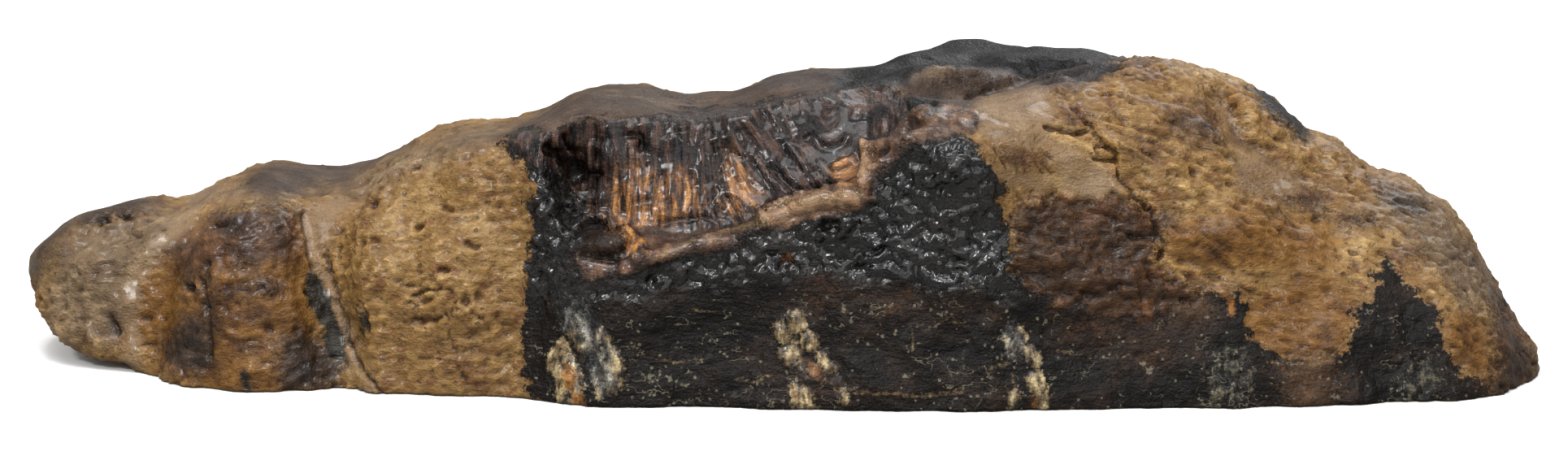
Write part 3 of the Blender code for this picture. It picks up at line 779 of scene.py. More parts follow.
@dataclass
class ZoneMap:
    """Where each kind of surface lies: by the photograph's pixels where it shows, else by rule."""

    surface: Surface
    grain: Grain
    warp_pixels: float = 5.0
    warp_size: float = 1.7
    fine_size: float = 0.7
    fine_share: float = 0.6
    steady_share: float = 0.45
    ragged: float = 0.45
    far: float = -3.0
    spread_rounds: int = 120
    forget: float = 0.004
    ridge_middle: float = 14.0
    ridge_foot: float = 16.0
    ridge_reach: float = 1.2

    def build(self) -> dict[Zone, np.ndarray]:
        """Works out every zone's reach.

        Returns:
            For each zone, the millimetres that each point lies inside it.
        """
        points = self.surface.points
        warp = self.grain.drift(points, self.warp_size, 40.0, 2)
        fine = self.grain.drift(points, self.fine_size, 70.0, 2)
        pixels = self.surface.pixels + self.warp_pixels * (warp + self.fine_share * fine)
        steady = self.surface.pixels + self.steady_share * self.warp_pixels * fine
        spikes = self.ragged * (self.grain.cloud(points, (1.5, 1.2, 0.9)) + self.grain.cloud(points, 0.75))
        reach = {}
        for zone, outlines in CHART.items():
            place = steady if zone in (Zone.ENAMEL, Zone.CORE) else pixels
            inside = np.max([inside_distance(place, outline) for outline in outlines], axis=0)
            if zone is Zone.DARK:
                inside += spikes
            reach[zone] = self.spread(np.maximum(inside, self.far), self.unseen(zone))
        lines = [line.half_width - path_distance(steady, line.path) for line in SEAMS]
        reach[Zone.SEAM] = np.where(self.surface.seen > 0.5, np.max(lines, axis=0), self.far)
        for zone, values in reach.items():
            LOG.info("zone %s covers %d points", zone.value, int((values > 0).sum()))
        return reach

    def unseen(self, zone: Zone) -> np.ndarray:
        """Guesses a zone's reach where it doesn't show: a brown back with dark and tan patches.

        Args:
            zone: the kind of surface.

        Returns:
            The millimetres that each point lies inside it.
        """
        points = self.surface.points
        if zone not in UNSEEN_PATCHES:
            return np.full(len(points), self.far)
        reach = UNSEEN_PATCHES[zone].reach(points, self.grain)
        if zone is Zone.RIDGE:
            beside = self.ridge_reach - np.abs(points[:, 0] - self.ridge_middle) / 7.0
            reach += np.minimum(beside, (points[:, 2] - self.ridge_foot) / 2.0)
        return reach

    def spread(self, shown: np.ndarray, hidden: np.ndarray) -> np.ndarray:
        """Lets what the photograph shows run a few millimetres on, over what it hides.

        Args:
            shown: a zone's reach by the photograph.
            hidden: its reach by rule.

        Returns:
            The first where the photograph sees, eased into the second where it doesn't.
        """
        seen = self.surface.seen > 0.5
        values = np.where(seen, shown, hidden)
        for _ in range(self.spread_rounds):
            near = self.surface.neighbours(values)
            values = np.where(seen, shown, near + self.forget * (hidden - near))
        return values


WITHIN: dict[Zone, Zone] = {Zone.CRUST: Zone.DARK, Zone.GLOW: Zone.DARK, Zone.CORE: Zone.DARK}


@dataclass(frozen=True)
class Lean:
    """How the flutes of the hollow's wall lean: x shifts with height between two places along the tooth."""

    amount: float = 0.62
    pivot: float = 12.0
    start: float = -6.5
    end: float = 7.0
    ease_in: float = 3.0
    ease_out: float = 4.0

    def along(self, x: np.ndarray, z: np.ndarray) -> np.ndarray:
        """Follows a leaning flute down to the height where it keeps its place.

        Args:
            x: places along the tooth.
            z: heights.

        Returns:
            The place along the tooth that each point's flute has at that height.
        """
        begun = smooth_step(x, self.start, self.start + self.ease_in)
        ended = smooth_step(x, self.end - self.ease_out, self.end)
        return x + self.amount * begun * (1.0 - ended) * (z - self.pivot)


FLUTE_LEAN = Lean()


@dataclass
class Relief:
    """The worn surface: what each kind of surface adds along the normal.

    The fields are heights and widths in millimetres. The widths of a noise's swells, in millimetres too, and
    the shares in which noises are mixed stand where it is read.
    """

    surface: Surface
    zones: dict[Zone, np.ndarray]
    grain: Grain
    border: float = 0.22
    wide_border: float = 1.1
    wobble_pixels: float = 3.0
    seen_rounds: int = 4
    fibre: float = 0.1
    shingle: float = 0.3
    tear: float = 0.2
    shingle_pitch: float = 1.05
    fibre_angles: tuple[float, float] = (14.0, -24.0)
    right_begins: tuple[float, float] = (12.0, 22.0)
    far_right: tuple[float, float] = (36.0, 44.0)
    granule: float = 0.12
    pit_depth: float = 0.4
    crust_lump: float = 0.22
    crust_grit: float = 0.26
    crust_crag: float = 0.22
    crust_sand: float = 0.2
    crust_heap: float = 0.2
    nodule_dome: float = 0.24
    nodule_clump: float = 0.24
    flute: float = 0.17
    flute_pitch: float = 0.6
    splinter: float = 0.18
    wall_break: float = 0.16
    wall_grit: float = 0.05
    front_swell: float = 0.14
    front_scratch: float = 0.07
    front_chip: float = 0.2
    front_grit: float = 0.09
    rim_swell: float = 0.14
    rim_ripple: float = 0.05
    cortex_swell: float = 0.16
    cortex_streak: float = 0.05
    cortex_grit: float = 0.02
    enamel_dome: float = 0.24
    enamel_shoulder: float = 0.45
    enamel_fold: float = 0.2
    bead: float = 0.14
    bead_step: float = 0.12
    bead_fold: float = 0.14

    def turned(self, degrees: np.ndarray | float) -> np.ndarray:
        """Turns the points about the depth axis, so that a fibre runs along x.

        Args:
            degrees: one angle, or one a point.

        Returns:
            The turned points.
        """
        angle = np.radians(degrees)
        x, y, z = self.surface.points.T
        along = x * np.cos(angle) + z * np.sin(angle)
        return np.stack([along, y, z * np.cos(angle) - x * np.sin(angle)], axis=1)

    def cement(self) -> np.ndarray:
        """Fibrous cement: wrinkles along the fibre, grains, pits, and torn shingles on the right.

        Returns:
            Heights in millimetres.
        """
        points = self.surface.points
        x = points[:, 0]
        right = smooth_step(x, *self.right_begins)
        along = self.turned(blend(*self.fibre_angles, right))
        wrinkles = self.grain.ridges(along, (2.0, 1.2, 0.8)) - 0.5
        wrinkles += 0.8 * self.grain.cloud(along + 30.0, (2.6, 2.0, 1.8))
        lumpy = self.grain.cloud(points + 50.0, (1.1, 1.0, 0.9))
        threads = self.grain.cloud(along + 9.0, (1.0, 0.6, 0.4))
        nearest, _, _ = self.grain.cells(along, 0.62)
        patch = np.clip(0.7 + self.grain.cloud(points + 80.0, (4.5, 3.5, 3.0)), 0.15, 1.5)
        domes = (0.5 - (nearest / 0.6) ** 2) * patch * (1.0 - 0.5 * right)
        hole, _, mark = self.grain.cells(points, 2.4)
        pits = smooth_step(0.26 - hole, 0.0, 0.2) * (mark > 0.5)
        height = self.fibre * (wrinkles + lumpy) + self.granule * (domes + threads) - self.pit_depth * pits
        torn = right * smooth_step(self.grain.cloud(along + 5.0, (7.0, 5.0, 3.5)), -0.45, 0.15)
        torn = torn * (1.0 - 0.75 * smooth_step(x, *self.far_right))
        tufts = 0.7 * self.grain.ridges(along + 17.0, (2.8, 0.9, 0.52))
        tufts += 0.45 * self.grain.ridges(along + 27.0, (1.3, 0.6, 0.36)) - 0.45
        spread = blend(0.35, 1.0, right) * (0.4 + 0.7 * patch)
        return height + self.shingle * self.shingle_lips(along) * torn + self.tear * tufts * spread

    def shingle_lips(self, along: np.ndarray) -> np.ndarray:
        """Rows of torn lips across the fibre, like the edges of shingles.

        Args:
            along: the points, turned so that the fibre runs along x.

        Returns:
            A height of about -0.45 to 0.55 at each point.
        """
        wave = along[:, 2] / self.shingle_pitch + 0.9 * self.grain.cloud(along, (5.0, 3.0, 2.2))
        wave += 0.3 * self.grain.cloud(along, (0.8, 0.7, 0.7))
        tooth = wave - np.floor(wave)
        return (1.0 - tooth) * smooth_step(tooth, 0.0, 0.12) - 0.45

    def crust(self) -> np.ndarray:
        """Black crust: broken flattened lumps of many sizes with grit on them.

        Returns:
            Heights in millimetres.
        """
        points = self.surface.points * np.array([0.8, 1.0, 1.1])
        drift = self.grain.drift(points, 1.7, 20.0) + 0.6 * self.grain.drift(points, 0.6, 20.0)
        nearest, gap, mark = self.grain.cells(points + drift, 1.3)
        lumps = 0.3 - nearest / 0.8 + 1.2 * (mark - 0.5) - 0.4 * smooth_step(0.2 - gap, 0.0, 0.2)
        small, _, own = self.grain.cells(points + 0.6 * drift + 3.0, 0.55)
        grit = 0.3 - small / 0.7 + 1.3 * (own - 0.5)
        crags = self.grain.ridges(points + 8.0, (1.3, 1.0, 1.6))
        crags -= 0.5 * self.grain.ridges(points + 5.0, 0.55)
        heaps = self.grain.cloud(points, 3.4) + 0.7 * self.grain.cloud(points, 1.7)
        sand = self.grain.cloud(points, 0.45) + 0.8 * self.grain.ridges(points + 60.0, 0.7)
        worn = self.crust_lump * lumps + self.crust_grit * grit + self.crust_crag * crags
        return worn + self.crust_heap * heaps + self.crust_sand * sand

    def dark_front(self) -> np.ndarray:
        """Dark lower front: gritty, nearly flat, with faint upright scratches.

        Returns:
            Heights in millimetres.
        """
        points = self.surface.points
        broad = self.grain.cloud(points, (3.2, 1.5, 1.8)) + 0.5 * self.grain.cloud(points, 1.2)
        scratches = self.grain.ridges(points + 2.0, (0.5, 1.0, 3.2))
        nearest, _, mark = self.grain.cells(points, 0.8)
        chips = (0.45 - nearest) * smooth_step(mark, 0.3, 1.0)
        marks = self.front_scratch * scratches + self.front_chip * chips
        return self.front_swell * broad + marks + self.front_grit * self.grain.cloud(points, 0.5)

    def nodules(self) -> np.ndarray:
        """Knobbly cement: clumped grains under a millimetre, torn along the fibre.

        Returns:
            Heights in millimetres.
        """
        along = self.turned(-18.0) * np.array([0.75, 1.0, 1.15])
        drift = self.grain.drift(along, 1.1, 15.0)
        large, gap, mark = self.grain.cells(along + 0.8 * drift, 1.25)
        small, _, own = self.grain.cells(along + 0.5 * drift + 7.0, 0.62)
        domes = 0.35 - (large / 0.7) ** 2 + 1.0 * (mark - 0.5) - 0.35 * smooth_step(0.15 - gap, 0.0, 0.15)
        domes += 0.5 * (0.35 - (small / 0.7) ** 2 + 1.2 * (own - 0.5))
        torn = self.grain.ridges(along + 4.0, (1.9, 1.0, 0.6)) - 0.5 + self.grain.cloud(along, 0.45)
        return self.nodule_dome * domes + self.nodule_clump * (self.grain.cloud(along, 2.3) + 0.6 * torn)

    def wall(self) -> np.ndarray:
        """Fluted back of the hollow: upright ribs, leaning on the right, broken into splinters.

        Returns:
            Heights in millimetres.
        """
        x, y, z = self.surface.points.T
        run = FLUTE_LEAN.along(x, z)
        warped = np.stack([run, y, z], axis=1)
        phase = run / self.flute_pitch + 0.55 * self.grain.cloud(warped, (1.8, 3.0, 5.0))
        wave = np.abs(2.0 * (phase - np.floor(phase)) - 1.0)
        strength = smooth_step(self.grain.cloud(warped + 6.0, (2.5, 3.0, 3.5)), -0.6, 0.3)
        splinters = self.grain.cloud(warped, (1.7, 2.0, 6.0))
        splinters += 0.5 * self.grain.cloud(warped, (0.8, 1.0, 2.4))
        breaks = smooth_step(self.grain.cloud(warped + 3.0, (1.3, 1.5, 1.8)), 0.25, 0.35)
        grit = self.grain.cloud(self.surface.points, 0.45)
        height = self.flute * strength * (wave - 0.5) + self.splinter * splinters
        return height - self.wall_break * breaks + self.wall_grit * grit

    def rim(self) -> np.ndarray:
        """Smooth lip, floor and shelf of the hollow.

        Returns:
            Heights in millimetres.
        """
        points = self.surface.points
        ripples = self.rim_ripple * self.grain.cloud(points, 0.8)
        return self.rim_swell * self.grain.cloud(points, 2.4) + ripples

    def cortex(self) -> np.ndarray:
        """Polished outside: low swells and faint streaks.

        Returns:
            Heights in millimetres.
        """
        points = self.surface.points
        streaks = self.grain.cloud(points, (2.4, 1.2, 0.9))
        swells = self.cortex_swell * self.grain.cloud(points, 4.5)
        return swells + self.cortex_streak * streaks + self.cortex_grit * self.grain.cloud(points, 0.5)

    def enamel(self) -> np.ndarray:
        """Ends of the enamel plates: small wrinkled lobes that stand proud.

        Returns:
            Heights in millimetres.
        """
        inside = np.clip(self.zones[Zone.ENAMEL] / self.enamel_shoulder, 0.0, 1.0)
        folds = self.grain.ridges(self.turned(-60.0), (1.3, 0.8, 0.5)) - 0.4
        return self.enamel_dome * np.sqrt(inside) + self.enamel_fold * folds

    def speckle(self) -> np.ndarray:
        """Green-grey plate ends made of small beads.

        Returns:
            Heights in millimetres.
        """
        nearest, _, mark = self.grain.cells(self.surface.points, 0.85)
        folds = self.grain.ridges(self.surface.points, (0.9, 0.8, 1.6)) - 0.4
        beads = self.bead * (0.5 - (nearest / 0.6) ** 2) + self.bead_step * (mark - 0.5)
        return beads + self.bead_fold * folds

    def heights(self) -> np.ndarray:
        """Lays every kind of surface over the one below it, and adds the drawn marks.

        Returns:
            Its height at each point, in millimetres.
        """
        layers = (
            (Zone.NODULE, self.nodules),
            (Zone.CORTEX, self.cortex),
            (Zone.PALE, self.rim),
            (Zone.DARK, self.dark_front),
            (Zone.CRUST, self.crust),
            (Zone.WALL, self.wall),
            (Zone.RIM, self.rim),
            (Zone.RIDGE, self.cortex),
            (Zone.ENAMEL, self.enamel),
            (Zone.SPECKLE, self.speckle),
        )
        total = self.cement()
        for zone, make in layers:
            if zone in WITHIN:
                share = self.share(zone, self.wide_border) * self.share(WITHIN[zone], self.border)
            else:
                share = self.share(zone, self.border)
            total = blend(total, make(), share)
        points = self.surface.points
        wobble = np.stack([self.grain.cloud(points, 0.9), self.grain.cloud(points, 0.6)], axis=1)
        pixels = self.surface.pixels + self.wobble_pixels * wobble
        drawn = sum(stroke.heights(pixels) for stroke in (*CRACKS, *LEDGES, *PITS))
        return total + drawn * self.surface.soften(self.surface.seen, self.seen_rounds)

    def share(self, zone: Zone, border: float) -> np.ndarray:
        """How much of a zone's relief each point gets, from 0 outside its border to 1 inside."""
        return smooth_step(self.zones[zone], -border, border)


@dataclass
class ToothSkin:
    """The tooth's outside and sawn face as one fine mesh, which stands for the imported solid."""

    node: str = "molar_slice"
    body: str = "root"
    slot: str = "fossil_tooth"
    voxel: float = 0.5
    facing_to_refine: float = 0.3
    skirt: float = 1.6
    flat: float = 0.02
    smooth_rounds: int = 7
    fine_rounds: int = 2
    shrink: float = 0.5
    regrow: float = -0.53
    seed: int = 7
    shortest: float = 1e-6
    most_corners: int = 7
    most_triangles: int = 198000
    blur_rounds: int = 14
    basin_rounds: int = 90

    def build(self) -> bpy.types.Object:
        """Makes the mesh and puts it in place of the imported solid.

        Returns:
            The finished object, without its materials.
        """
        piece = self.copy_solid()
        self.remesh(piece)
        self.smooth(piece.data, self.smooth_rounds)
        self.saw_flat(piece.data)
        self.refine_front(piece.data)
        self.smooth(piece.data, self.fine_rounds)
        self.wear(piece.data)
        self.close_and_shade(piece.data)
        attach(piece, self.body)
        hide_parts(self.node)
        LOG.info("tooth_skin has %d triangles", len(piece.data.loop_triangles))
        return piece

    def copy_solid(self) -> bpy.types.Object:
        """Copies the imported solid, and lets its flat face down to make a skirt below the saw cut.

        Returns:
            The copy, as an object of its own.
        """
        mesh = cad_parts[self.node].data.copy()
        mesh.name = "tooth_skin"
        mesh.materials.clear()
        points = self.read_points(mesh)
        points[points[:, 2] < self.flat, 2] = -self.skirt
        self.write_points(mesh, points)
        piece = bpy.data.objects.new("tooth_skin", mesh)
        bpy.context.scene.collection.objects.link(piece)
        return piece

    def remesh(self, piece: bpy.types.Object) -> None:
        """Gives an object an even mesh of small faces.

        Args:
            piece: the object, whose mesh is replaced.
        """
        modifier = piece.modifiers.new("even", "REMESH")
        modifier.mode = "VOXEL"
        modifier.voxel_size = self.voxel * MM
        graph = bpy.context.evaluated_depsgraph_get()
        made = bpy.data.meshes.new_from_object(piece.evaluated_get(graph))
        piece.modifiers.clear()
        old = piece.data
        piece.data = made
        bpy.data.meshes.remove(old)
        made.name = "tooth_skin"

    @staticmethod
    def read_points(mesh: bpy.types.Mesh) -> np.ndarray:
        """Reads a mesh's points.

        Args:
            mesh: the mesh to read.

        Returns:
            Its points in millimetres, one row each.
        """
        flat = np.zeros(len(mesh.vertices) * 3)
        mesh.vertices.foreach_get("co", flat)
        return flat.reshape(-1, 3) / MM

    @staticmethod
    def write_points(mesh: bpy.types.Mesh, points: np.ndarray) -> None:
        """Moves the mesh's points to places given in millimetres."""
        mesh.vertices.foreach_set("co", (points * MM).ravel())
        mesh.update()

    def survey(self, mesh: bpy.types.Mesh, look: bool = True) -> Surface:
        """Reads a mesh as a surface.

        Args:
            mesh: the mesh to read.
            look: whether to find what the photograph sees of it.

        Returns:
            Its points, normals, edges, pixels and what is seen.
        """
        points = self.read_points(mesh)
        normals = np.zeros(len(points) * 3)
        mesh.vertex_normals.foreach_get("vector", normals)
        normals = normals.reshape(-1, 3)
        edges = np.zeros(len(mesh.edges) * 2, np.int64)
        mesh.edges.foreach_get("vertices", edges)
        seen = np.zeros(len(points))
        if look:
            faces = [tuple(p.vertices) for p in mesh.polygons]
            seen = EYE.sees(points, normals, BVHTree.FromPolygons([Vector(p) for p in points], faces))
        return Surface(points, normals, edges.reshape(-1, 2), EYE.pixels(points), seen)

    def smooth(self, mesh: bpy.types.Mesh, rounds: int) -> None:
        """Rounds off the facets without shrinking the mesh, and leaves the saw cut where it is.

        Args:
            mesh: the mesh to smooth.
            rounds: how often it shrinks and grows back.
        """
        surface = self.survey(mesh, look=False)
        points = surface.points
        cut = np.abs(points[:, 2]) < self.flat
        for _ in range(rounds):
            for amount in (self.shrink, self.regrow):
                near = np.stack([surface.neighbours(points[:, i]) for i in range(3)], axis=1)
                points = np.where(cut[:, None], points, points + amount * (near - points))
        self.write_points(mesh, points)

    def saw_flat(self, mesh: bpy.types.Mesh) -> None:
        """Cuts the skirt off at the saw's plane and closes the cut with one flat face.

        Args:
            mesh: the mesh to cut.
        """
        work = bmesh.new()
        work.from_mesh(mesh)
        bmesh.ops.bisect_plane(work, geom=[*work.verts, *work.edges, *work.faces], plane_co=(0, 0, 0),
                               plane_no=(0, 0, 1), clear_inner=True)
        open_edges = [e for e in work.edges if e.is_boundary]
        bmesh.ops.holes_fill(work, edges=open_edges, sides=0)
        for vertex in work.verts:
            if abs(vertex.co.z) < self.flat * MM:
                vertex.co.z = 0.0
        work.to_mesh(mesh)
        work.free()

    def refine_front(self, mesh: bpy.types.Mesh) -> None:
        """Splits the faces that the photograph shows, other than those it sees edge-on, into four.

        Args:
            mesh: the mesh to refine.
        """
        surface = self.survey(mesh)
        facing = np.einsum("ij,ij->i", EYE.directions(surface.points), surface.normals)
        seen = (surface.seen > 0.5) & (facing > self.facing_to_refine)
        work = bmesh.new()
        work.from_mesh(mesh)
        work.faces.ensure_lookup_table()
        small = [f for f in work.faces if len(f.verts) <= self.most_corners]
        chosen = [f for f in small if sum(seen[v.index] for v in f.verts) >= 2]
        edges = list({e for f in chosen for e in f.edges})
        bmesh.ops.subdivide_edges(work, edges=edges, cuts=1, use_grid_fill=True)
        work.to_mesh(mesh)
        work.free()

    def wear(self, mesh: bpy.types.Mesh) -> None:
        """Raises the relief, and stores on the mesh each zone's reach and the hollows' depth, which feeds
        painted shade and light.

        Args:
            mesh: the mesh to wear.
        """
        surface = self.survey(mesh)
        grain = Grain(self.seed)
        zones = ZoneMap(surface, grain).build()
        heights = Relief(surface, zones, grain).heights()
        cut = np.abs(surface.points[:, 2]) < self.flat
        direction = surface.normals.copy()
        direction[cut, 2] = 0.0
        direction /= np.maximum(np.linalg.norm(direction, axis=1), self.shortest)[:, None]
        points = surface.points + direction * heights[:, None]
        points[~cut, 2] = np.maximum(points[~cut, 2], self.flat)
        self.write_points(mesh, points)
        for zone, reach in zones.items():
            self.store(mesh, zone.value, reach)
        # depth and basin drive the painted shade in hollows and the painted light on crests.
        self.store(mesh, "depth", surface.soften(heights, self.blur_rounds) - heights)
        self.store(mesh, "basin", surface.soften(heights, self.basin_rounds) - heights)

    @staticmethod
    def store(mesh: bpy.types.Mesh, name: str, values: np.ndarray) -> None:
        """Keeps one number a point on the mesh."""
        attribute = mesh.attributes.new(name, "FLOAT", "POINT")
        attribute.data.foreach_set("value", values.astype(np.float32))

    def close_and_shade(self, mesh: bpy.types.Mesh) -> None:
        """Triangulates the large faces, shades the outside smooth and marks the sawn face.

        Args:
            mesh: the mesh to finish.
        """
        work = bmesh.new()
        work.from_mesh(mesh)
        large = [f for f in work.faces if len(f.verts) > 4]
        bmesh.ops.triangulate(work, faces=large, ngon_method="EAR_CLIP")
        for face in work.faces:
            sawn = all(abs(v.co.z) < self.flat * MM / 2 for v in face.verts)
            face.material_index = 1 if sawn else 0
            face.smooth = not sawn
        work.to_mesh(mesh)
        work.free()
        mesh.calc_loop_triangles()
        if len(mesh.loop_triangles) > self.most_triangles:
            LOG.warning("tooth_skin has too many triangles: %d", len(mesh.loop_triangles))


MIX_SOCKETS = {"FLOAT": (0, 2, 3, 0), "RGBA": (0, 6, 7, 2)}
"""Which sockets of the Mix node are the share, the first, the second and the result, by its data type."""


class Sheet:
    """A node tree, with short calls that add a node and join it."""

    def __init__(self, tree: bpy.types.NodeTree) -> None:
        """Keeps the tree."""
        self.tree = tree

    def add(self, kind: str, **settings: object) -> bpy.types.Node:
        """Adds a node.

        Args:
            kind: the node's type.
            settings: its own properties and their values.

        Returns:
            The node.
        """
        node = self.tree.nodes.new(kind)
        for name, value in settings.items():
            setattr(node, name, value)
        return node

    def feed(self, socket: Socket, value: Feed) -> None:
        """Joins a socket to another, or sets its value.

        Args:
            socket: the input.
            value: a socket to join it to, or a value.
        """
        if isinstance(value, Socket):
            self.tree.links.new(value, socket)
        else:
            socket.default_value = value

    def math(self, operation: str, first: Feed, second: Feed = 0.0) -> Socket:
        """Joins two numbers.

        Args:
            operation: the Math node's name for it.
            first: a value or a socket.
            second: another, where the operation takes two.

        Returns:
            The result.
        """
        node = self.add("ShaderNodeMath", operation=operation)
        self.feed(node.inputs[0], first)
        self.feed(node.inputs[1], second)
        return node.outputs[0]

    def plus(self, first: Feed, second: Feed) -> Socket:
        """Adds two numbers."""
        return self.math("ADD", first, second)

    def minus(self, first: Feed, second: Feed) -> Socket:
        """Takes the second number from the first."""
        return self.math("SUBTRACT", first, second)

    def times(self, first: Feed, second: Feed) -> Socket:
        """Multiplies two numbers."""
        return self.math("MULTIPLY", first, second)

    def scale(self, vector: Feed, amounts: Feed) -> Socket:
        """Multiplies a vector or a colour, part by part.

        Args:
            vector: what is scaled.
            amounts: three factors.

        Returns:
            The result.
        """
        node = self.add("ShaderNodeVectorMath", operation="MULTIPLY")
        self.feed(node.inputs[0], vector)
        self.feed(node.inputs[1], amounts)
        return node.outputs[0]

    def ease(self, value: Feed, low: Feed, high: Feed, start: float = 0.0, end: float = 1.0) -> Socket:
        """Eases a number between two levels.

        Args:
            value: the number.
            low: where it starts to rise.
            high: where it is full.
            start: what comes out at low.
            end: what comes out at high.

        Returns:
            The eased number.
        """
        node = self.add("ShaderNodeMapRange", interpolation_type="SMOOTHSTEP")
        for socket, given in zip(node.inputs, (value, low, high, start, end)):
            self.feed(socket, given)
        return node.outputs[0]

    def mix(self, share: Feed, first: Feed, second: Feed, number: bool = False) -> Socket:
        """Blends two colours or two numbers.

        Args:
            share: 0 for the first, 1 for the second.
            first: a value or a socket.
            second: another.
            number: whether they are numbers.

        Returns:
            The blend.
        """
        kind = "FLOAT" if number else "RGBA"
        node = self.add("ShaderNodeMix", data_type=kind)
        *inputs, output = MIX_SOCKETS[kind]
        for index, given in zip(inputs, (share, first, second)):
            self.feed(node.inputs[index], given)
        return node.outputs[output]

    def noise(self, vector: Feed, scale: float, detail: float = 3.0, rough: float = 0.55) -> Socket:
        """Cloudy noise, about 0.3 to 0.7.

        Args:
            vector: the place that it is read at.
            scale: swells in a millimetre.
            detail: how many finer layers it has.
            rough: how strong each is beside the one before.

        Returns:
            The noise.
        """
        node = self.add("ShaderNodeTexNoise")
        for name, given in (("Vector", vector), ("Scale", scale), ("Detail", detail), ("Roughness", rough)):
            self.feed(node.inputs[name], given)
        return node.outputs[0]

    def attribute(self, name: str) -> Socket:
        """A number stored on the mesh."""
        node = self.add("ShaderNodeAttribute", attribute_type="GEOMETRY", attribute_name=name)
        return node.outputs["Fac"]

    def millimetres(self) -> Socket:
        """The place on the object, in millimetres."""
        place = self.add("ShaderNodeTexCoord").outputs["Object"]
        return self.scale(place, (1 / MM, 1 / MM, 1 / MM))

    def surface(self, feeds: dict[str, Feed], height: Socket, depth: float) -> None:
        """Ends a material with a shader, its fine bump and the output.

        Args:
            feeds: a value or a socket for each of the shader's inputs that has one.
            height: the shape of the bump.
            depth: how far the bump rises, in millimetres.
        """
        shader = self.add("ShaderNodeBsdfPrincipled")
        for name, given in feeds.items():
            self.feed(shader.inputs[name], given)
        bump = self.add("ShaderNodeBump")
        bump.inputs["Distance"].default_value = depth * MM
        self.feed(bump.inputs["Height"], height)
        self.feed(shader.inputs["Normal"], bump.outputs["Normal"])
        output = self.add("ShaderNodeOutputMaterial")
        self.feed(output.inputs["Surface"], shader.outputs["BSDF"])


def blank_material(name: str) -> tuple[bpy.types.Material, Sheet]:
    """Makes a material without nodes.

    Args:
        name: the material's name.

    Returns:
        The material, and the sheet that fills it.
    """
    material = bpy.data.materials.new(name)
    material.use_nodes = True
    material.node_tree.nodes.clear()
    return material, Sheet(material.node_tree)


def slots(kind: str, *names: str) -> tuple[tuple[str, str], ...]:
    """Lists inputs or outputs of one kind: Float, Color or Vector."""
    return tuple((name, "NodeSocket" + kind) for name in names)


class Effect:
    """A shader node group with named inputs and outputs, built once and placed in each material."""

    name = "effect"
    inputs: tuple[tuple[str, str], ...] = ()
    outputs: tuple[tuple[str, str], ...] = ()

    def tree(self) -> bpy.types.NodeTree:
        """Finds the group, or builds it on its first use.

        Returns:
            The group's tree.
        """
        found = bpy.data.node_groups.get(self.name)
        if found is not None:
            return found
        tree = bpy.data.node_groups.new(self.name, "ShaderNodeTree")
        for name, kind in self.inputs:
            tree.interface.new_socket(name, in_out="INPUT", socket_type=kind)
        for name, kind in self.outputs:
            tree.interface.new_socket(name, in_out="OUTPUT", socket_type=kind)
        sheet = Sheet(tree)
        given = sheet.add("NodeGroupInput").outputs
        results = self.wire(sheet, given)
        end = sheet.add("NodeGroupOutput")
        for name, socket in results.items():
            tree.links.new(socket, end.inputs[name])
        return tree

    def wire(self, sheet: Sheet, given: bpy.types.NodeOutputs) -> Sockets:
        """Makes the group's inside, which each effect has its own way of doing.

        Args:
            sheet: the group's own tree.
            given: the sockets of the group's inputs, by name.

        Returns:
            A socket for each of its outputs.
        """
        raise NotImplementedError

    def place(self, sheet: Sheet, **values: Feed) -> bpy.types.NodeOutputs:
        """Puts the group in a material.

        Args:
            sheet: the material's tree.
            values: a value or a socket for each input, its name in small letters.

        Returns:
            The group's outputs.
        """
        node = sheet.add("ShaderNodeGroup")
        node.node_tree = self.tree()
        for name, value in values.items():
            sheet.feed(node.inputs[name.replace("_", " ").capitalize()], value)
        return node.outputs


class RaggedBorder(Effect):
    """A mask that is 1 inside a zone, with a torn border."""

    name = "ragged_border"
    inputs = slots("Float", "Distance", "Grain", "Reach", "Softness")
    outputs = slots("Float", "Mask")

    def wire(self, sheet: Sheet, given: bpy.types.NodeOutputs) -> Sockets:
        """Shifts the border in and out by the grain.

        Args:
            sheet: the group's tree.
            given: its inputs.

        Returns:
            Its outputs.
        """
        swing = sheet.times(sheet.minus(given["Grain"], 0.5), given["Reach"])
        shifted = sheet.plus(given["Distance"], swing)
        outside = sheet.times(given["Softness"], -1.0)
        return {"Mask": sheet.ease(shifted, outside, given["Softness"])}


class ThreeTones(Effect):
    """A colour that goes from dark through middle to light as the grain rises."""

    name = "three_tones"
    inputs = slots("Float", "Grain") + slots("Color", "Light", "Middle", "Dark")
    outputs = slots("Color", "Colour")
    span = (0.37, 0.5, 0.63)

    def wire(self, sheet: Sheet, given: bpy.types.NodeOutputs) -> Sockets:
        """Blends the two lower tones, then the upper one over them.

        Args:
            sheet: the group's tree.
            given: its inputs.

        Returns:
            Its outputs.
        """
        low, middle, high = self.span
        lower = sheet.mix(sheet.ease(given["Grain"], low, middle), given["Dark"], given["Middle"])
        return {"Colour": sheet.mix(sheet.ease(given["Grain"], middle, high), lower, given["Light"])}


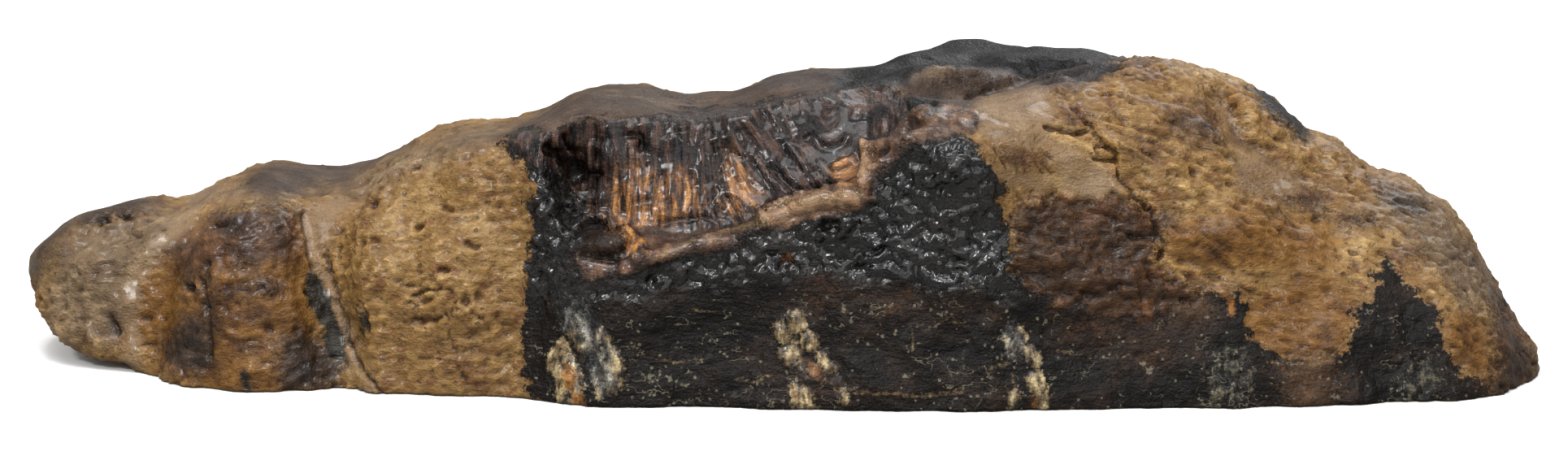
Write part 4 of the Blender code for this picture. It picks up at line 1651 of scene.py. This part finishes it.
class PaintedShadeAndCrestLight(Effect):
    """Painted shade that darkens hollows in their own colour, and painted light that lightens what stands
    proud.
    """

    name = "painted_shade_and_crest_light"
    inputs = slots("Color", "Colour") + slots("Float", "Depth", "Full depth", "Amount", "Wear")
    outputs = slots("Color", "Colour")
    shade_tint = (0.34, 0.26, 0.2)

    def wire(self, sheet: Sheet, given: bpy.types.NodeOutputs) -> Sockets:
        """Paints shade into the hollows by depth, then paints light on the crests.

        Args:
            sheet: the group's tree.
            given: its inputs.

        Returns:
            Its outputs.
        """
        fill = sheet.times(sheet.ease(given["Depth"], 0.0, given["Full depth"]), given["Amount"])
        shaded_colour = sheet.mix(fill, given["Colour"], sheet.scale(given["Colour"], self.shade_tint))
        proud = sheet.times(given["Depth"], -1.0)
        crest = sheet.times(sheet.ease(proud, 0.0, given["Full depth"]), given["Wear"])
        node = sheet.add("ShaderNodeVectorMath", operation="SCALE")
        sheet.feed(node.inputs[0], shaded_colour)
        sheet.feed(node.inputs["Scale"], sheet.plus(crest, 1.0))
        return {"Colour": node.outputs[0]}


class Shear(Effect):
    """Leans upright lines over a span of x, so that flutes run slanting there."""

    name = "shear"
    inputs = slots("Vector", "Place") + slots("Float", "Lean", "Start", "End")
    outputs = slots("Vector", "Place")
    ease_width = 3.5

    def wire(self, sheet: Sheet, given: bpy.types.NodeOutputs) -> Sockets:
        """Shifts x in step with the height.

        Args:
            sheet: the group's tree.
            given: its inputs.

        Returns:
            Its outputs.
        """
        axes = sheet.add("ShaderNodeSeparateXYZ")
        sheet.feed(axes.inputs[0], given["Place"])
        rise = sheet.ease(axes.outputs[0], given["Start"], sheet.plus(given["Start"], self.ease_width))
        fall = sheet.ease(axes.outputs[0], given["End"], sheet.minus(given["End"], self.ease_width))
        lean = sheet.times(sheet.times(rise, fall), given["Lean"])
        shift = sheet.times(lean, sheet.minus(axes.outputs[2], FLUTE_LEAN.pivot))
        joined = sheet.add("ShaderNodeCombineXYZ")
        sheet.feed(joined.inputs[0], sheet.plus(axes.outputs[0], shift))
        sheet.feed(joined.inputs[1], axes.outputs[1])
        sheet.feed(joined.inputs[2], axes.outputs[2])
        return {"Place": joined.outputs[0]}


class Threads(Effect):
    """Thin winding lines that come and go, such as scratches and strands of grit."""

    name = "threads"
    inputs = slots("Vector", "Place") + slots("Float", "Width", "Gap")
    outputs = slots("Float", "Mask")
    break_width = 0.06

    def wire(self, sheet: Sheet, given: bpy.types.NodeOutputs) -> Sockets:
        """Follows the middle level of one noise and breaks it by another.

        Args:
            sheet: the group's tree.
            given: its inputs.

        Returns:
            Its outputs.
        """
        level = sheet.math("ABSOLUTE", sheet.minus(sheet.noise(given["Place"], 0.55, 3.0), 0.5))
        line = sheet.ease(level, given["Width"], 0.0)
        full = sheet.plus(given["Gap"], self.break_width)
        shown = sheet.ease(sheet.noise(given["Place"], 1.1, 2.0), given["Gap"], full)
        return {"Mask": sheet.times(line, shown)}


class LongGrain(Effect):
    """Noise drawn out along one axis, such as fibres or flutes."""

    name = "long_grain"
    inputs = slots("Vector", "Place", "Stretch")
    outputs = slots("Float", "Grain")

    def wire(self, sheet: Sheet, given: bpy.types.NodeOutputs) -> Sockets:
        """Scales the place, then reads noise there.

        Args:
            sheet: the group's tree.
            given: its inputs.

        Returns:
            Its outputs.
        """
        return {"Grain": sheet.noise(sheet.scale(given["Place"], given["Stretch"]), 1.0, 3.0, 0.6)}


class Spots(Effect):
    """Scattered round spots, such as freckles, pores and specks of grit."""

    name = "spots"
    inputs = slots("Vector", "Place") + slots("Float", "Pitch", "Share", "Size")
    outputs = slots("Float", "Mask")
    unevenness = 0.8
    full_share = 0.4

    def wire(self, sheet: Sheet, given: bpy.types.NodeOutputs) -> Sockets:
        """Breaks space into cells, picks a share of them and puts an uneven spot in each.

        Args:
            sheet: the group's tree.
            given: its inputs.

        Returns:
            Its outputs.
        """
        cells = sheet.add("ShaderNodeTexVoronoi")
        sheet.feed(cells.inputs["Vector"], given["Place"])
        sheet.feed(cells.inputs["Scale"], sheet.math("DIVIDE", 1.0, given["Pitch"]))
        tint = sheet.add("ShaderNodeSeparateColor")
        sheet.feed(tint.inputs[0], cells.outputs["Color"])
        lowest = sheet.minus(1.0, given["Share"])
        chosen = sheet.math("GREATER_THAN", tint.outputs[1], lowest)
        swing = sheet.minus(sheet.noise(given["Place"], 3.1, 2.0), 0.5)
        uneven = sheet.times(swing, self.unevenness)
        apart = sheet.plus(cells.outputs["Distance"], uneven)
        spot = sheet.ease(apart, given["Size"], sheet.times(given["Size"], self.full_share))
        return {"Mask": sheet.times(chosen, spot)}


RAGGED_BORDER = RaggedBorder()
THREE_TONES = ThreeTones()
PAINTED_SHADE_AND_CREST_LIGHT = PaintedShadeAndCrestLight()
LONG_GRAIN = LongGrain()
SPOTS = Spots()
SHEAR = Shear()
THREADS = Threads()


@dataclass(frozen=True)
class Tones:
    """Three screen colours that a part's grain goes through."""

    light: Colour
    middle: Colour
    dark: Colour

    def place(self, sheet: Sheet, grain: Socket) -> Socket:
        """Adds the colour to a material.

        Args:
            sheet: the material's tree.
            grain: the pattern that the tones follow.

        Returns:
            The colour.
        """
        three = {name: linear(getattr(self, name)) for name in ("light", "middle", "dark")}
        return THREE_TONES.place(sheet, grain=grain, **three)["Colour"]


@dataclass(frozen=True)
class Finish(Tones):
    """One coat of the tooth: its tones, gloss, border in millimetres, strength and grain."""

    roughness: float
    varnish: float
    reach: float = 1.0
    softness: float = 0.12
    strength: float = 1.0
    grow: float = 0.0
    grain: GrainKind = GrainKind.CEMENT


CEMENT = Finish((150, 122, 78), (119, 90, 50), (78, 54, 28), 0.5, 0.2)

COATS: tuple[tuple[Zone, Finish], ...] = (
    (Zone.GOLD, Finish((132, 95, 47), (104, 70, 30), (62, 39, 18), 0.45, 0.2, 2.4, 0.8, 0.9)),
    (Zone.GREY, Finish((124, 106, 85), (92, 77, 61), (56, 45, 37), 0.42, 0.22, 2.6, 1.1, 0.8)),
    (Zone.STAIN, Finish((88, 60, 42), (60, 40, 30), (34, 23, 19), 0.42, 0.25, 3.4, 1.0, 0.85,
                        grain=GrainKind.CLOUD)),
    # Soot-dark stains, and a painted shadow at the foot of the far ridge.
    (Zone.SOOT_AND_SHADE, Finish((60, 47, 40), (40, 31, 26), (21, 16, 15), 0.4, 0.25, 3.0, 0.8, 0.92,
                       grain=GrainKind.CLOUD)),
    (Zone.NODULE, Finish((92, 56, 31), (50, 31, 18), (20, 13, 9), 0.44, 0.16, 4.4, 0.8, 0.94)),
    (Zone.CORTEX, Finish((84, 69, 59), (54, 43, 37), (29, 22, 19), 0.4, 0.07, 1.6, 0.9, 0.92)),
    (Zone.PALE, Finish((140, 117, 88), (118, 95, 69), (86, 66, 48), 0.34, 0.36, 1.2, 0.6, 0.85)),
    (Zone.DARK, Finish((112, 78, 50), (78, 51, 34), (46, 30, 22), 0.42, 0.2, 3.0, 0.7, 0.28, 0.15)),
    (Zone.DARK, Finish((40, 29, 23), (16, 12, 9), (5, 4, 4), 0.52, 0.03, 1.6, 0.16)),
    (Zone.UMBER, Finish((76, 50, 32), (38, 26, 18), (15, 11, 9), 0.48, 0.06, 4.4, 1.2, 0.66)),
    (Zone.AMBER, Finish((94, 66, 40), (66, 46, 28), (38, 26, 17), 0.45, 0.1, 3.2, 0.9, 0.72)),
    (Zone.CRUST, Finish((38, 30, 29), (13, 11, 11), (4, 3, 3), 0.26, 0.75, 1.6, 0.8)),
    (Zone.WALL, Finish((74, 54, 45), (35, 25, 22), (8, 6, 6), 0.3, 0.35, 0.8, 0.2,
                       grain=GrainKind.FLUTE)),
    (Zone.GLOW, Finish((182, 130, 74), (116, 76, 44), (40, 26, 18), 0.3, 0.4, 2.4, 0.9, 0.85,
                       grain=GrainKind.FLUTE)),
    (Zone.RIM, Finish((98, 72, 52), (60, 42, 33), (28, 20, 17), 0.28, 0.4, 0.8, 0.24,
                      grain=GrainKind.CLOUD)),
    (Zone.BUFF, Finish((148, 120, 92), (122, 94, 68), (76, 54, 38), 0.3, 0.4, 0.9, 0.3, 0.85)),
    (Zone.RIDGE, Finish((27, 27, 30), (12, 12, 14), (5, 5, 6), 0.42, 0.04, 1.4, 0.6, 1.0, 0.4,
                        grain=GrainKind.CLOUD)),
    (Zone.GREEN, Finish((40, 41, 36), (24, 25, 22), (12, 13, 12), 0.42, 0.15, 0.9, 0.25, 0.95,
                        grain=GrainKind.CLOUD)),
    (Zone.ENAMEL, Finish((168, 150, 112), (106, 88, 60), (32, 28, 24), 0.3, 0.5, 0.9, 0.16, 0.92,
                         grain=GrainKind.VEIN)),
    (Zone.CORE, Finish((146, 96, 40), (104, 66, 27), (50, 30, 16), 0.35, 0.3, 0.8, 0.2, 0.9,
                       grain=GrainKind.VEIN)),
    (Zone.MIST, Finish((122, 122, 116), (60, 60, 60), (22, 22, 24), 0.34, 0.3, 1.6, 0.4, 0.8,
                       grain=GrainKind.VEIN)),
    (Zone.SPECKLE, Finish((94, 88, 70), (22, 22, 19), (8, 9, 8), 0.36, 0.2, 3.0, 0.6, 0.6,
                          grain=GrainKind.VEIN)),
    (Zone.SEAM, Finish((136, 116, 82), (104, 84, 56), (74, 56, 38), 0.4, 0.25, 0.4, 0.1, 0.5,
                       grain=GrainKind.FINE)),
)


@dataclass
class Look:
    """What the steps of the outside's material share: its tree, places, grains, pores and masks."""

    sheet: Sheet
    place: Socket
    leaning: Socket
    grains: dict[GrainKind, Socket]
    pores: Socket
    masks: dict[Zone, Socket] = field(default_factory=dict)

    def spots(self, pitch: float, share: Feed, size: float) -> Socket:
        """A mask of scattered spots: how far apart, what share of the cells has one, and how wide."""
        return SPOTS.place(self.sheet, place=self.place, pitch=pitch, share=share, size=size)["Mask"]

    def strands(self, stretch: tuple[float, float, float]) -> Socket:
        """Noise with that many swells in a millimetre along each axis."""
        return LONG_GRAIN.place(self.sheet, place=self.place, stretch=stretch)["Grain"]


@dataclass(frozen=True)
class WeatheredSkin:
    """The material of the outside: every coat laid over the cement, then grit, painted shade and light, gloss
    and fine bump.
    """

    base: Finish = CEMENT
    freckle: Colour = (90, 54, 32)
    pore: Colour = (60, 40, 28)
    speck: Colour = (150, 142, 118)
    tuft: Colour = (178, 150, 106)
    freckle_share: float = 0.7
    tuft_share: float = 0.34
    damp_share: float = 0.5
    pore_share: float = 0.6
    speck_share: float = 0.36
    fine_bump: float = 0.1
    full_depth: float = 0.19
    basin_depth: tuple[float, float] = (0.35, 1.0)
    # Strengths of the painted shade in fine and broad hollows, and of the painted light on crests.
    hollow_shade: float = 0.86
    basin_shade: float = 0.9
    wear: float = 0.52
    gloss_swing: float = 0.5
    sheen_level: float = 0.14
    coat_roughness: float = 0.2

    def build(self) -> bpy.types.Material:
        """Wires the material.

        Returns:
            The material of the tooth's outside.
        """
        material, sheet = blank_material("weathered_tooth")
        look = self.look(sheet)
        tones = self.freckled(look, self.base.place(sheet, look.grains[self.base.grain]))
        roughness, varnish = self.base.roughness, self.base.varnish
        for zone, finish in COATS:
            mask = self.mask(look, zone, finish)
            look.masks[zone] = mask
            tones = sheet.mix(mask, tones, finish.place(sheet, look.grains[finish.grain]))
            roughness = sheet.mix(mask, roughness, finish.roughness, number=True)
            varnish = sheet.mix(mask, varnish, finish.varnish, number=True)
        uneven = sheet.times(sheet.minus(look.grains[GrainKind.FINE], 0.5), self.gloss_swing)
        feeds = {
            "Specular IOR Level": self.sheen_level,
            "Coat Roughness": self.coat_roughness,
            "Base Color": self.shaded_and_lit(sheet, self.grit(look, tones)),
            "Roughness": sheet.plus(roughness, uneven),
            "Coat Weight": varnish,
        }
        sheet.surface(feeds, self.height(look), self.fine_bump)
        return material

    @staticmethod
    def look(sheet: Sheet) -> Look:
        """Makes the patterns that the coats share.

        Args:
            sheet: the material's tree.

        Returns:
            The tree with its places, grains and pores.
        """
        place = sheet.millimetres()
        leaning = SHEAR.place(sheet, place=place, lean=FLUTE_LEAN.amount, start=FLUTE_LEAN.start,
                              end=FLUTE_LEAN.end)["Place"]
        fine = sheet.noise(place, 3.4, 2.0, 0.65)
        cloud = sheet.noise(place, 0.45, 4.0, 0.62)
        fibre = LONG_GRAIN.place(sheet, place=place, stretch=(0.4, 0.8, 1.3))["Grain"]
        broad = sheet.times(sheet.plus(cloud, sheet.noise(place, 0.16, 3.0, 0.6)), 0.33)
        grains = {
            GrainKind.CLOUD: cloud,
            GrainKind.CEMENT: sheet.plus(broad, sheet.times(sheet.plus(fine, fibre), 0.17)),
            GrainKind.VEIN: LONG_GRAIN.place(sheet, place=place, stretch=(1.7, 1.1, 0.8))["Grain"],
            GrainKind.FLUTE: LONG_GRAIN.place(sheet, place=leaning, stretch=(2.2, 0.8, 0.3))["Grain"],
            GrainKind.FINE: fine,
        }
        pores = SPOTS.place(sheet, place=place, pitch=0.75, share=0.4, size=0.24)["Mask"]
        return Look(sheet, place, leaning, grains, pores)

    @staticmethod
    def mask(look: Look, zone: Zone, finish: Finish) -> Socket:
        """Finds where one coat lies.

        Args:
            look: what the coats share.
            zone: the coat's zone.
            finish: the coat.

        Returns:
            Its strength at each place.
        """
        sheet = look.sheet
        distance = sheet.plus(sheet.attribute(zone.value), finish.grow)
        mask = RAGGED_BORDER.place(sheet, distance=distance, grain=look.grains[GrainKind.FINE],
                                   reach=finish.reach, softness=finish.softness)["Mask"]
        mask = sheet.times(mask, finish.strength)
        return sheet.times(mask, look.masks[WITHIN[zone]]) if zone in WITHIN else mask

    def freckled(self, look: Look, tones: Socket) -> Socket:
        """Lays red-brown freckles, pale tufts, damp stains and dark pores on the cement.

        Args:
            look: what the coats share.
            tones: the colour so far.

        Returns:
            The colour with them.
        """
        sheet = look.sheet
        freckles = sheet.times(look.spots(1.3, 0.3, 0.42), self.freckle_share)
        tones = sheet.mix(freckles, tones, linear(self.freckle))
        tufts = sheet.ease(look.strands((0.9, 1.4, 2.4)), 0.54, 0.68, 0.0, self.tuft_share)
        tones = sheet.mix(tufts, tones, linear(self.tuft))
        damp = sheet.ease(sheet.noise(sheet.scale(look.place, (0.7, 1.0, 1.2)), 0.6, 4.0, 0.7), 0.5, 0.66)
        tones = sheet.mix(sheet.times(damp, self.damp_share), tones, linear(self.freckle))
        return sheet.mix(sheet.times(look.pores, self.pore_share), tones, linear(self.pore))

    def grit(self, look: Look, tones: Socket) -> Socket:
        """Sticks pale grit to the dark front in specks and winding strands, thicker where it is dusty.

        Args:
            look: what the coats share.
            tones: the colour so far.

        Returns:
            The colour with it.
        """
        sheet = look.sheet
        dusty = sheet.ease(sheet.attribute(Zone.DUST.value), -1.5, 1.5)
        small = look.spots(0.42, sheet.plus(sheet.times(dusty, 0.35), 0.12), 0.32)
        large = look.spots(1.3, 0.16, 0.2)
        gap = sheet.minus(0.56, sheet.times(dusty, 0.08))
        laid = sheet.scale(look.place, (0.8, 1.0, 1.3))
        strands = THREADS.place(sheet, place=laid, width=0.014, gap=gap)["Mask"]
        shown = sheet.math("MAXIMUM", sheet.math("MAXIMUM", small, large), strands)
        clear = sheet.minus(1.0, sheet.math("MAXIMUM", look.masks[Zone.CRUST], look.masks[Zone.WALL]))
        shown = sheet.times(sheet.times(shown, look.masks[Zone.DARK]), clear)
        return sheet.mix(sheet.times(shown, self.speck_share), tones, linear(self.speck))

    def shaded_and_lit(self, sheet: Sheet, tones: Socket) -> Socket:
        """Paints shade into the fine hollows and the broad ones, and paints light on the crests.

        Args:
            sheet: the material's tree.
            tones: the colour so far.

        Returns:
            The colour with dirt and wear.
        """
        tones = PAINTED_SHADE_AND_CREST_LIGHT.place(sheet, colour=tones, depth=sheet.attribute("depth"), amount=self.hollow_shade,
                                   full_depth=self.full_depth, wear=self.wear)["Colour"]
        shallow, deep = self.basin_depth
        basin = sheet.minus(sheet.attribute("basin"), shallow)
        return PAINTED_SHADE_AND_CREST_LIGHT.place(sheet, colour=tones, depth=basin, amount=self.basin_shade,
                                  full_depth=deep, wear=0.0)["Colour"]

    @staticmethod
    def height(look: Look) -> Socket:
        """Shapes the fine bump: grain and fibres everywhere, pores in the cement, flutes in the hollow.

        Args:
            look: what the coats share.

        Returns:
            The height that feeds the bump.
        """
        sheet = look.sheet
        flutes = LONG_GRAIN.place(sheet, place=look.leaning, stretch=(3.4, 1.0, 0.3))["Grain"]
        fibres = sheet.times(look.strands((0.9, 1.6, 3.0)), 1.6)
        crusted = sheet.plus(sheet.times(look.masks[Zone.CRUST], 2.4), 1.0)
        sand = sheet.times(sheet.noise(look.place, 5.2, 1.0), crusted)
        rough = sheet.plus(sheet.plus(look.grains[GrainKind.FINE], fibres), sand)
        bare = sheet.minus(1.0, look.masks[Zone.DARK])
        rough = sheet.minus(rough, sheet.times(sheet.times(look.pores, bare), 0.8))
        return sheet.plus(rough, sheet.times(sheet.times(flutes, look.masks[Zone.WALL]), 3.4))


@dataclass(frozen=True)
class SawnFace:
    """The material of the sawn underside: loops of enamel with dentine inside and cement between them."""

    pitch: float = 15.4
    first: float = -13.6
    half_width: float = 2.3
    enamel_width: float = 0.55
    back_end: float = 14.0
    round_end: float = 7.0
    sway: float = 5.0
    edge: float = 0.05
    groove: float = 0.04
    varnish: float = 0.25
    cement: Tones = Tones((150, 112, 74), (104, 72, 48), (52, 38, 30))
    dentine: Tones = Tones((198, 160, 108), (168, 122, 72), (120, 80, 42))
    enamel: Colour = (214, 204, 176)

    def build(self) -> bpy.types.Material:
        """Wires the material.

        Returns:
            The material of the sawn face.
        """
        material, sheet = blank_material("sawn_face")
        place = sheet.millimetres()
        cloud = sheet.noise(place, 0.28, 5.0, 0.6)
        streak = LONG_GRAIN.place(sheet, place=place, stretch=(0.9, 0.16, 0.5))["Grain"]
        room, inner = self.loops(sheet, place, cloud)
        dentine = self.dentine.place(sheet, streak)
        colour = sheet.mix(sheet.ease(inner, -self.edge, self.edge), self.cement.place(sheet, cloud), dentine)
        band = sheet.minus(self.enamel_width, sheet.math("ABSOLUTE", inner))
        shell = RAGGED_BORDER.place(sheet, distance=band, grain=streak, reach=0.8, softness=0.08)["Mask"]
        shown = sheet.times(shell, sheet.ease(room, 0.02, 0.2))
        feeds = {
            "Coat Weight": self.varnish,
            "Base Color": sheet.mix(shown, colour, linear(self.enamel)),
            "Roughness": sheet.ease(streak, 0.3, 0.7, 0.32, 0.5),
        }
        strokes = LONG_GRAIN.place(sheet, place=place, stretch=(2.6, 0.1, 1.0))["Grain"]
        sheet.surface(feeds, strokes, self.groove)
        return material

    def loops(self, sheet: Sheet, place: Socket, cloud: Socket) -> tuple[Socket, Socket]:
        """Works out the plates that the saw has cut across.

        Args:
            sheet: the material's tree.
            place: the place on the object, in millimetres.
            cloud: the noise that sways them.

        Returns:
            How wide a plate is there, as a share of its most, and the millimetres inside it.
        """
        axes = sheet.add("ShaderNodeSeparateXYZ")
        sheet.feed(axes.inputs[0], place)
        sway = sheet.times(sheet.minus(cloud, 0.5), self.sway)
        along = sheet.plus(sheet.minus(axes.outputs[0], self.first), sway)
        shifted = sheet.plus(along, self.pitch / 2)
        folded = sheet.minus(sheet.math("FLOORED_MODULO", shifted, self.pitch), self.pitch / 2)
        room = sheet.ease(axes.outputs[1], self.back_end, self.back_end - self.round_end)
        width = sheet.times(room, self.half_width)
        return room, sheet.minus(width, sheet.math("ABSOLUTE", folded))


@dataclass(frozen=True)
class SoftBox:
    """One area light: its place and aim in metres, its size and its power in watts."""

    name: str
    place: tuple[float, float, float]
    size: float
    power: float
    aim: tuple[float, float, float] = (0.0, 0.0, 0.01)

    def build(self) -> bpy.types.Object:
        """Adds the light.

        Returns:
            The light's object.
        """
        data = bpy.data.lights.new(self.name, "AREA")
        data.shape = "SQUARE"
        data.size = self.size
        data.energy = self.power
        light = bpy.data.objects.new(self.name, data)
        light.location = self.place
        light.rotation_mode = "QUATERNION"
        light.rotation_quaternion = (Vector(self.aim) - Vector(self.place)).to_track_quat("-Z", "Y")
        bpy.context.scene.collection.objects.link(light)
        return light


@dataclass(frozen=True)
class Studio:
    """The pale floor, the even surrounding light and the soft boxes."""

    floor_size: float = 6.0
    floor_drop: float = 0.0001
    floor_colour: Colour = (244, 244, 243)
    bounce_colour: Colour = (150, 149, 147)
    floor_dimming: float = 0.99
    floor_sheen: float = 0.1
    floor_roughness: float = 0.9
    horizon: float = 0.24
    zenith: float = 0.72
    zenith_from: float = 0.9
    boxes: tuple[SoftBox, ...] = (
        SoftBox("overhead", (-0.05, -0.16, 0.5), 0.3, 2.0),
        SoftBox("key", (-0.2, -0.36, 0.3), 0.06, 0.9),
        SoftBox("side", (0.3, -0.3, 0.34), 0.08, 0.5),
        SoftBox("front", (0.1, -0.7, 0.35), 0.4, 1.1),
        SoftBox("spark", (-0.12, -0.02, 0.45), 0.05, 0.4),
        SoftBox("back", (0.2, 0.4, 0.35), 0.25, 0.8),
    )

    def build(self) -> None:
        """Adds the floor, the lights and the surroundings."""
        bpy.ops.mesh.primitive_plane_add(size=self.floor_size)
        floor = bpy.context.active_object
        floor.name = "floor"
        floor.location.z = -self.floor_drop
        floor.data.materials.append(self.floor_material())
        for box in self.boxes:
            box.build()
        scene = bpy.context.scene
        scene.world = self.surroundings()
        scene.view_settings.view_transform = "Standard"
        scene.view_settings.look = "None"

    def surroundings(self) -> bpy.types.World:
        """White to look at, and as a light bright overhead and dimmer towards the horizon.

        Returns:
            The world.
        """
        world = bpy.data.worlds.new("studio")
        world.use_nodes = True
        sheet = Sheet(world.node_tree)
        axes = sheet.add("ShaderNodeSeparateXYZ")
        sheet.feed(axes.inputs[0], sheet.add("ShaderNodeTexCoord").outputs["Generated"])
        light = sheet.ease(axes.outputs[2], 0.0, self.zenith_from, self.horizon, self.zenith)
        looked_at = sheet.add("ShaderNodeLightPath").outputs["Is Camera Ray"]
        background = world.node_tree.nodes["Background"]
        sheet.feed(background.inputs["Strength"], sheet.mix(looked_at, light, 1.0, number=True))
        background.inputs["Color"].default_value = (1.0, 1.0, 1.0, 1.0)
        return world

    def floor_material(self) -> bpy.types.Material:
        """Matt near-white card, very faintly uneven, which throws little light back at the tooth.

        Returns:
            The floor's material.
        """
        material = bpy.data.materials.new("pale_floor")
        material.use_nodes = True
        sheet = Sheet(material.node_tree)
        shader = material.node_tree.nodes["Principled BSDF"]
        shader.inputs["Specular IOR Level"].default_value = self.floor_sheen
        shader.inputs["Roughness"].default_value = self.floor_roughness
        shade = sheet.ease(sheet.noise(sheet.millimetres(), 0.01, 2.0), 0.3, 0.7)
        pale = linear(self.floor_colour)
        red, green, blue = (c * self.floor_dimming for c in pale[:3])
        looked_at = sheet.add("ShaderNodeLightPath").outputs["Is Camera Ray"]
        card = sheet.mix(shade, (red, green, blue, 1.0), pale)
        card = sheet.mix(looked_at, linear(self.bounce_colour), card)
        sheet.feed(shader.inputs["Base Color"], card)
        return material


def main() -> None:
    """Builds the tooth, then the studio and the camera."""
    logging.basicConfig(level=logging.INFO, format="%(name)s: %(message)s")
    tooth = ToothSkin().build()
    tooth.data.materials.append(WeatheredSkin().build())
    tooth.data.materials.append(SawnFace().build())
    LOG.info("tooth dressed")
    Studio().build()
    LOG.info("studio built")
    EYE.place_camera()
    LOG.info("camera placed")


if __name__ == "__main__":
    main()
